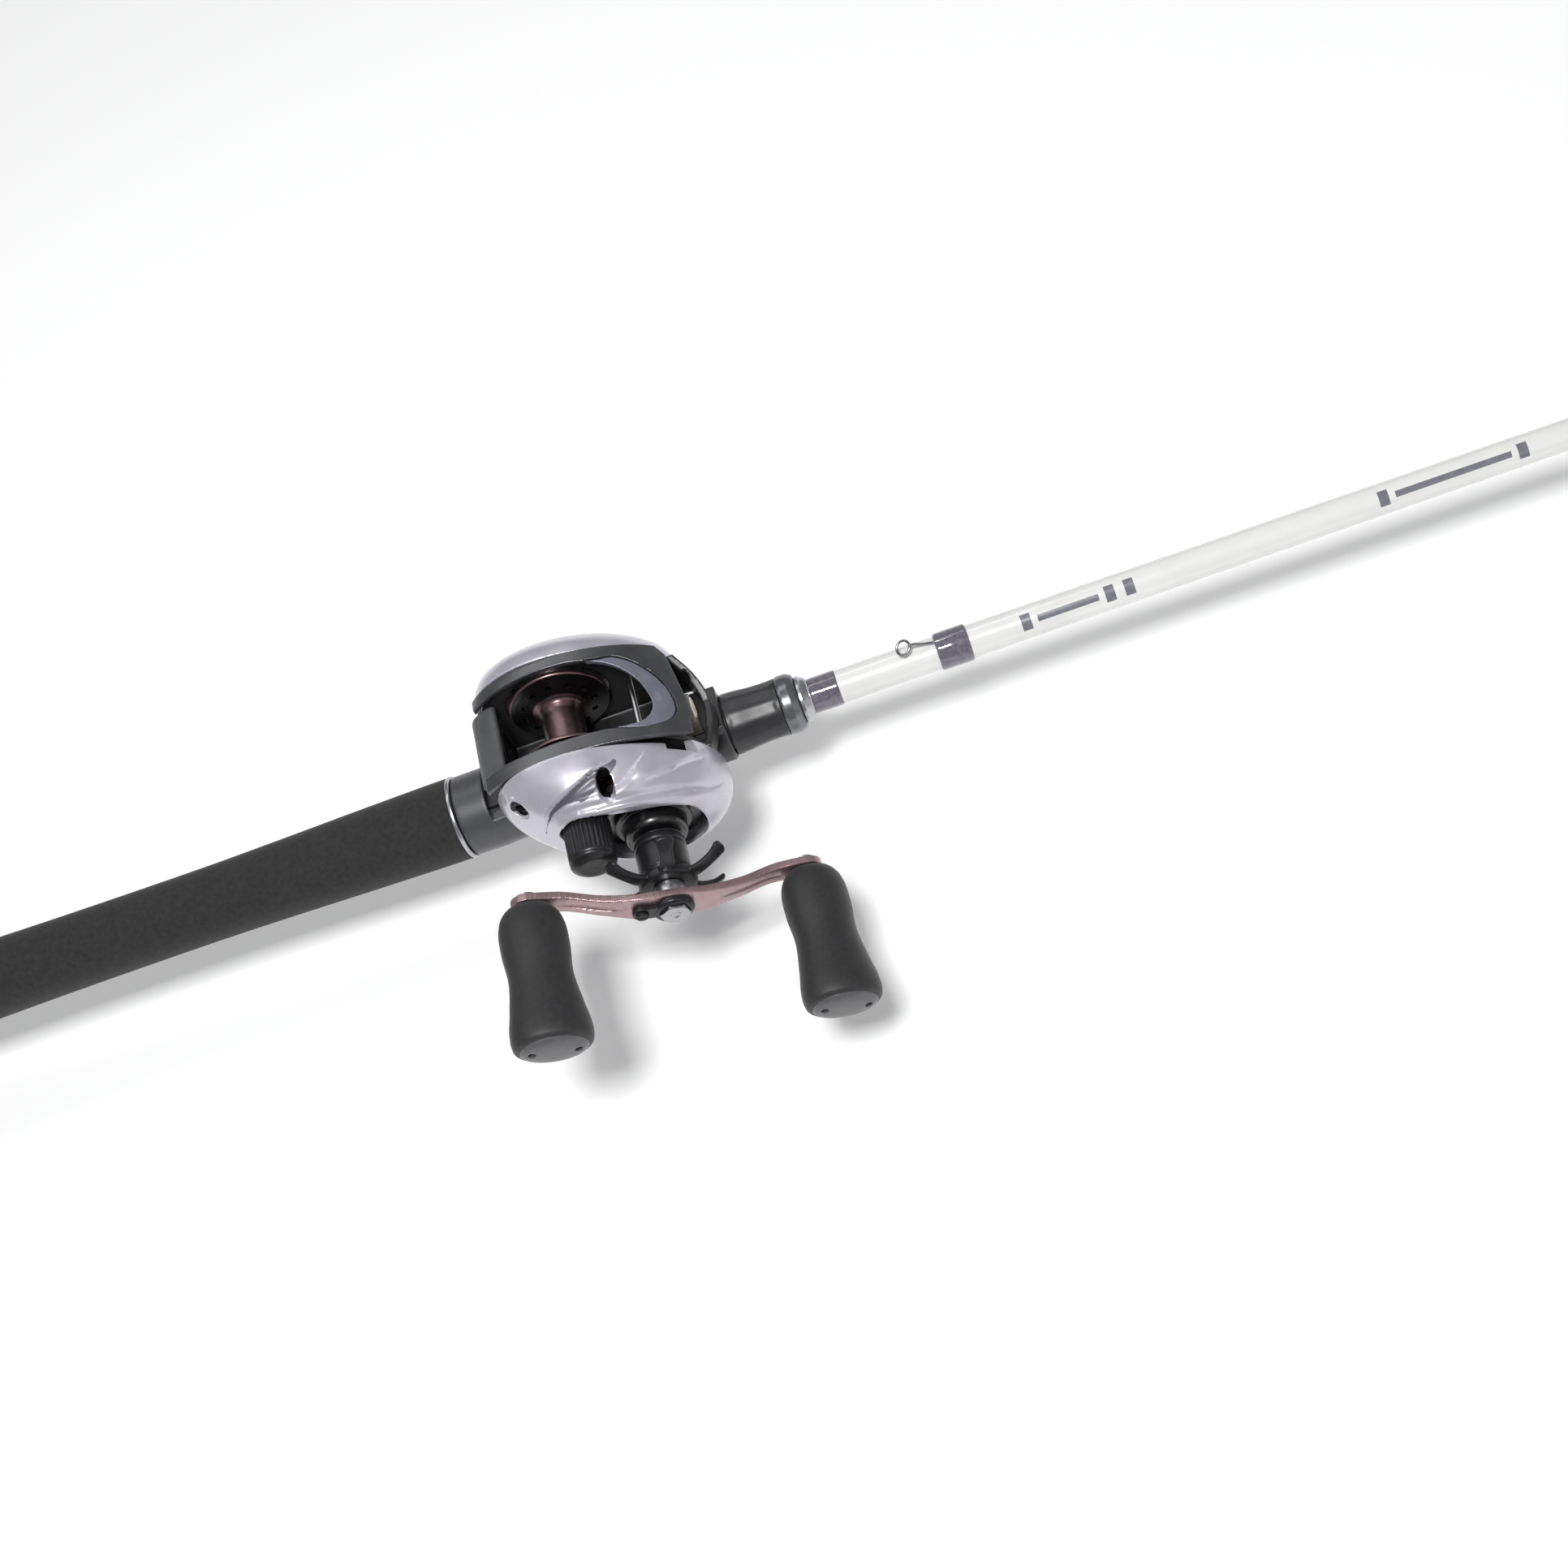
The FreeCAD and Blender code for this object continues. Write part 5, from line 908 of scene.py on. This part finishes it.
def clutch_pieces():
    shape = smooth_line([(-27.6, 29.4), (-26.2, 32.8), (-22.6, 35.4), (-19.3, 36.2), (-18.4, 35.0),
                         (-19.4, 33.4), (-22.6, 31.6), (-25.4, 28.8)], closed=True, per=8)
    bar = prism(shape, "y", -14.2, 8.9)
    for y in (-14.2, 7.5):
        join(bar, block(-23.4, -20.2, y + 0.01, y + 1.39, 25.8, 33.4))
    join(bar, block(-20.9, -19.2, -17.7, -14.0, 25.4, 28.0), block(-22.0, -19.2, -14.18, -12.8, 25.4, 28.1))
    for y in (-8.6, -5.6, -2.6, 0.4, 3.4):
        cut(bar, tube([(-27.8, y, 32.3), (-24.9, y, 34.8), (-21.2, y, 36.6)], 0.42))
    use(soften(bar, 0.24, 4), "thumb_bar_grip", "thumb_unit", M["thumb"], ["thumb_bar"],
        crease=60)
    # painted highlight: a small silver disc at the bar's lower end stands in for a highlight there
    dot = lathe("y", (-24.0, 33.2), rounded([(-14.65, 0), (-14.65, 1.5), (-14.1, 1.7), (-14.1, 0)], 0.2),
                segs=48)
    use(dot, "thumb_bar_painted_highlight_dot", "thumb_unit", M["silver"])


def guide_pieces():
    y0 = -7.0
    sleeve = lathe("y", WORM, rounded([(y0 - 3.2, 0), (y0 - 3.2, 5.0), (y0 + 3.2, 5.0), (y0 + 3.2, 0)], 0.5),
                   segs=96)
    ring_x, ring_z = 35.4, 24.6
    holder = lathe("x", (y0, ring_z), rounded([(33.6, 0), (33.6, 4.4), (37.0, 4.4), (37.0, 0)], 0.5), segs=96)
    join(holder, block(33.6, 37.0, y0 - 3.2, y0 + 3.2, WORM_Z - 1, ring_z))
    join(sleeve, block(WORM_X, 35, y0 - 3.19, y0 + 3.19, WORM_Z - 1, WORM_Z + 4.3), holder)
    cut(sleeve, rod("y", WORM, y0 - 6, y0 + 6, 3.85, segs=96),
        rod("x", (y0, ring_z), 30, 40, 3.4, segs=96))
    use(soften(sleeve, 0.2, 3), "line_guide_carriage", "guide", M["carriage"],
        ["line_guide"], crease=60)
    outline = [(-1.6, 3.35), (1.6, 3.35), (2.0, 2.9), (1.3, 2.3), (0.6, 2.1), (-0.6, 2.1), (-1.3, 2.3),
               (-2.0, 2.9)]
    ring = lathe("x", (y0, ring_z), rounded([(ring_x + t, r) for t, r in outline], 0.3, closed=True), segs=96,
                 closed=True)
    use(ring, "line_guide_ceramic", "guide", M["ceramic"], ["line_guide_ring"])
    slot = block(WORM_X - 1.3, WORM_X + 1.3, -13.2, 9.0, WORM_Z - 5, WORM_Z - 2)
    shield = lathe("y", WORM, [(-14.7, 3.8), (10.5, 3.8), (10.5, 3.1), (-14.7, 3.1)], segs=96, closed=True)
    use(cut(shield, slot), "worm_shield_tube", BODY, M["alloy"], ["worm_shield"])


def star_piece():
    outline = [(-40.8, 7.0), (-41.6, 7.55), (-43.2, 7.6), (-43.5, 7.35), (-44.0, 7.35), (-44.3, 7.6),
               (-51.8, 7.6), (-52.6, 7.0), (-53.4, 7.0), (-53.9, 8.6), (-55.6, 8.6), (-56.2, 8.0),
               (-56.2, 2.68), (-40.8, 2.68)]
    hub = annulus("y", DRIVE, outline, 0.35, segs=160)
    for i in range(6):
        angle = radians(-15) + i * pi / 3
        path = smooth_line([(5.6, -54.9), (10.4, -54.9), (14.6, -53.7), (17.0, -52.4), (18.9, -51.0)], per=6)
        rings = []
        for k, (r, y) in enumerate(path):
            t = k / (len(path) - 1)
            half = 2.7 - 1.0 * sin(pi * min(1.0, t * 1.15)) ** 1.2 * 0.7
            if t > 0.86:
                half *= sqrt(max(0.05, 1 - ((t - 0.86) / 0.15) ** 2))
            thick = 0.95
            turns = np.arange(24) * 2 * pi / 24
            w = half * squared(np.cos(turns), 0.6)
            h = thick * squared(np.sin(turns), 0.6)
            slope = -0.55 * t
            rings.append(np.stack([r + h * sin(slope) * 0.6, y + h * cos(slope), w], axis=1))
        arm = loft(rings)
        moved(arm, -REEL, 0, 0)
        arm.data.transform(Matrix.Rotation(angle, 4, "Y"))
        moved(arm, REEL + DRIVE_X, 0, DRIVE_Z)
        join(hub, arm)
    use(soften(hub, 0.22, 3), "star_drag_wheel", "star", M["black_alloy"], ["star_drag"],
        crease=60)
    rim = lathe("y", DRIVE, rounded([(-40.75, 5.6), (-40.75, 7.1), (-41.3, 7.5), (-41.3, 5.6)], 0.15,
                                                      closed=True), segs=128, closed=True)
    use(rim, "star_bright_rim", "star", M["silver"])


def arm_y(d):
    """Inner face of the crank arm at a distance from its middle."""
    x = abs(d)
    line = [(0, 0.0), (9, 0.0), (20, 0.35), (31, 0.9), (CRANK_HALF, 1.0), (60, 1.0)]
    xs, ys = np.array([p[0] for p in line], dtype=float), np.array([p[1] for p in line])
    return ARM_MID + ARM_SWEEP * float(np.clip(cubic(xs, ys, x), 0, 1.0))


def arm_half(d):
    x = abs(d)
    if x <= CRANK_HALF:
        xs = np.array([0, 6, 11, 17, 24, 32, CRANK_HALF])
        ys = np.array([5.75, 5.6, 5.1, 4.2, 3.65, 3.75, 4.55])
        return float(cubic(xs, ys, x))
    return 4.55 * sqrt(max(0.0, 1 - ((x - CRANK_HALF) / 4.6) ** 2))


def crank_pieces():
    stations = list(np.linspace(-CRANK_HALF, CRANK_HALF, 120))
    tips = [CRANK_HALF + 4.6 * sin(a) for a in np.linspace(0.12, pi / 2 - 0.03, 14)]
    stations = [-d for d in reversed(tips)] + stations + tips
    rings = []
    turns = np.arange(40) * 2 * pi / 40
    for d in stations:
        half = max(0.15, arm_half(d))
        y = arm_y(d) - ARM_T / 2
        edge = min(1.0, half / 1.3)
        w = half * squared(np.cos(turns), 0.28)
        h = ARM_T / 2 * edge ** 0.5 * squared(np.sin(turns), 0.28)
        rings.append(np.stack([np.full(40, d), y + h, w], axis=1))
    arm = loft(rings)
    for side in (-1, 1):
        groove = []
        for d in np.linspace(13, 33, 24):
            groove.append((side * d, arm_y(d) - ARM_T - 0.55, 0.0))
        widths = [0.5 + 0.75 * sin(pi * i / 23) for i in range(24)]
        cut(arm, tube(groove, widths, sides=20))
    use(at_crank(arm), "crank_arm_rose", "crank", M["arm"], ["crank_arm"], crease=40)

    outside = ARM_MID - ARM_T
    disc = lathe("y", (0, 0), rounded([(outside, 0), (outside, 5.9), (outside - 1.5, 5.9),
                                       (outside - 2.2, 5.0), (outside - 2.2, 0)], 0.4), segs=96)
    ear = rod("y", (-9.4, 0), outside, outside - 1.6, 2.7, segs=64)
    join(disc, ear, block(-9.4, 0, outside - 1.59, outside - 0.01, -2.55, 2.55))
    hexagon = [(4.68 * cos(i * pi / 3), 4.68 * sin(i * pi / 3)) for i in range(6)]
    cut(disc, prism(hexagon, "y", outside - 4, outside + 1))
    use(at_crank(soften(disc, 0.16, 3)), "nut_retainer_plate", "crank", M["black_alloy"],
        ["nut_retainer"], crease=60)
    hexagon = [(4.58 * cos(i * pi / 3), 4.58 * sin(i * pi / 3)) for i in range(6)]
    nut = prism(hexagon, "y", outside - 3.2, outside)
    keep(nut, lathe("y", (0, 0), [(outside, 0), (outside, 5.0), (outside - 2.5, 4.9), (outside - 3.2, 3.9),
                                       (outside - 3.2, 0)], segs=96))
    dimple = [(outside - 4.0, 0), (outside - 4.0, 2.3), (outside - 3.2, 1.8), (outside - 2.7, 1.0),
              (outside - 2.6, 0)]
    cut(nut, rod("y", (0, 0), -64.6, -50, 2.36, segs=64),
        lathe("y", (0, 0), dimple, segs=64))
    use(at_crank(soften(nut, 0.14, 2)), "crank_nut", "crank", M["steel"], ["handle_nut"],
        crease=40)
    screw = lathe("y", (-9.4, 0), rounded([(outside - 0.05, 0), (outside - 0.05, 1.0),
                                           (outside - 1.65, 1.0), (outside - 1.65, 1.9),
                                           (outside - 2.5, 1.8), (outside - 2.7, 1.3), (outside - 2.75, 0)],
                                          0.1), segs=64)
    cut(screw, block(-11.6, -7.2, outside - 3.2, outside - 2.3, -0.28, 0.28))
    use(at_crank(screw), "retainer_screw_head", "crank", M["screw"], ["retainer_screw"])
    shaft = lathe("y", (0, 0), rounded([(-15.6, 0), (-15.6, 1.7), (-18.4, 1.7), (-18.4, 2.6), (-58.0, 2.6),
                                        (-58.0, 2.3), (-64.2, 2.3), (-64.4, 1.9), (-64.4, 0)], 0.15),
                  segs=64)
    use(at_crank(shaft), "crank_shaft_ground", "crank", M["steel"], ["drive_shaft"])

    start = ARM_MID + ARM_SWEEP - ARM_T - 0.6
    profile = [(0.0, 5.0, 4.6), (0.5, 6.2, 5.6), (1.4, 7.3, 6.4), (3.0, 8.4, 7.2), (5.5, 9.2, 7.8),
               (12, 9.6, 8.0), (22, 9.0, 7.3), (32, 10.3, 7.9), (38.5, 11.3, 8.6), (41.5, 11.2, 8.5),
               (43.0, 10.6, 8.0), (KNOB_LEN, 9.8, 7.4)]
    xs = np.array([p[0] for p in profile])
    for side, word in ((-1, "rear"), (1, "front")):
        rings = []
        turns = np.arange(96) * 2 * pi / 96
        spans = sorted(set(list(np.linspace(0, KNOB_LEN, 64)) + [0.2, 0.9, 42.6, 43.3]))
        for along in spans:
            wide = cubic(xs, np.array([p[1] for p in profile]), along)
            deep = cubic(xs, np.array([p[2] for p in profile]), along)
            u = squared(np.cos(turns), 0.94)
            v = squared(np.sin(turns), 0.94)
            rings.append(np.stack([wide * u, np.full(96, start - along), deep * v], axis=1))
        grip = loft(rings)
        cut(grip, rod("y", (0, 0), start + 1, start - 36, 3.52, segs=64))
        moved(grip, side * CRANK_HALF, 0, 0)
        use(at_crank(grip), "knob_foam_" + word, "knob_" + word, M["knob"],
            ["knob_grip_" + word], crease=50)
        rings = []
        for along, wide, deep in [(1.3, 9.5, 6.9), (1.9, 9.45, 6.8), (2.5, 8.9, 6.2), (3.0, 7.9, 5.2),
                                  (3.3, 6.4, 4.0), (3.4, 3.0, 2.0)]:
            rings.append([(wide * cos(t), start - 42.0 - along, deep * sin(t)) for t in turns])
        cap = loft(rings)
        for s in (-1, 1):
            cut(cap, rod("y", (s * 6.3, 0.6), start - 43.9, start - 49, 1.1,
                           segs=32))
        moved(cap, side * CRANK_HALF, 0, 0)
        use(at_crank(cap), "knob_end_" + word, "knob_" + word, M["knob_cap"],
            ["knob_cap_" + word], crease=30)


def repaint_nodes():
    """Nodes whose CAD shape stays get a real material."""
    finish = {"guide_frames": "wire", "reel_foot": "black_alloy", "body_screws": "screw",
              "brake_base": "alloy", "brake_magnets": "nylon", "spool_bearings": "steel",
              "shaft_bearing": "steel", "one_way_bearing": "steel", "yoke_springs": "steel",
              "brake_rotor": "alloy", "pinion": "brass", "clutch_yoke": "nylon", "clutch_cam": "nylon",
              "drive_gear": "brass", "drag_washers": "fibre", "feed_gear": "nylon",
              "one_way_sleeve": "steel", "drag_spacer": "alloy", "knob_posts": "steel",
              "knob_bushings": "nylon", "tension_shim": "nylon", "worm_shaft": "steel",
              "worm_gear": "nylon", "pawl": "brass"}
    for name, key in finish.items():
        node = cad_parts[name]
        if not node.material_slots:
            node.data.materials.append(M[key])
        for each in node.material_slots:
            each.material = M[key]


def studio():
    floor_z = -0.0425
    bpy.ops.mesh.primitive_plane_add(size=12, location=(REEL * 0.001, 0, floor_z))
    floor = bpy.context.object
    floor.name = "floor"
    sheet = bpy.data.materials.new("floor_paper")
    sheet.use_nodes = True
    shader = sheet.node_tree.nodes["Principled BSDF"]
    shader.inputs["Base Color"].default_value = (0.93, 0.93, 0.93, 1)
    shader.inputs["Roughness"].default_value = 0.9
    shader.inputs["Specular IOR Level"].default_value = 0.1
    shader.inputs["Emission Color"].default_value = (1, 1, 1, 1)
    shader.inputs["Emission Strength"].default_value = 0.10
    floor.data.materials.append(sheet)

    scene = bpy.context.scene
    world = bpy.data.worlds.new("studio")
    scene.world = world
    world.use_nodes = True
    back = world.node_tree.nodes["Background"]
    back.inputs["Color"].default_value = (0.97, 0.98, 1.0, 1)
    back.inputs["Strength"].default_value = 0.32
    target = Vector((REEL * 0.001 + 0.03, -0.03, 0.01))

    def lamp(name, place, size, power, tint=(1, 1, 1), stretch=None):
        data = bpy.data.lights.new(name, "AREA")
        data.energy = power
        data.color = tint
        data.shape = "RECTANGLE"
        data.size = size
        data.size_y = stretch or size
        thing = bpy.data.objects.new(name, data)
        bpy.context.collection.objects.link(thing)
        thing.location = Vector(place)
        thing.rotation_euler = (Vector(place) - target).to_track_quat("Z", "Y").to_euler()

    lamp("key", target + Vector((-0.016, -0.394, 1.134)), 0.22, 11.6)
    lamp("strip", target + Vector((-0.30, 0.60, 0.95)), 1.2, 2.5, stretch=0.25)
    lamp("fill", target + Vector((0.95, -0.80, 0.60)), 0.9, 1.2)

    data = bpy.data.cameras.new("camera")
    # viewpoint of the photograph
    data.lens = 45.84
    data.sensor_width = 36
    data.clip_start = 0.01
    data.clip_end = 20
    camera = bpy.data.objects.new("camera", data)
    bpy.context.collection.objects.link(camera)
    camera.location = (REEL * 0.001 + 0.1026, -0.3452, 0.4959)
    camera.rotation_euler = [radians(a) for a in (30.244, 13.923, -13.775)]
    scene.camera = camera
    scene.view_settings.view_transform = "Standard"


rod_pieces()
seat_pieces()
crank_side()
palm_side()
cowl_pieces()
frame_pieces()
cover_pieces()
cast_cap_piece()
spool_pieces()
clutch_pieces()
guide_pieces()
star_piece()
crank_pieces()
repaint_nodes()
studio()
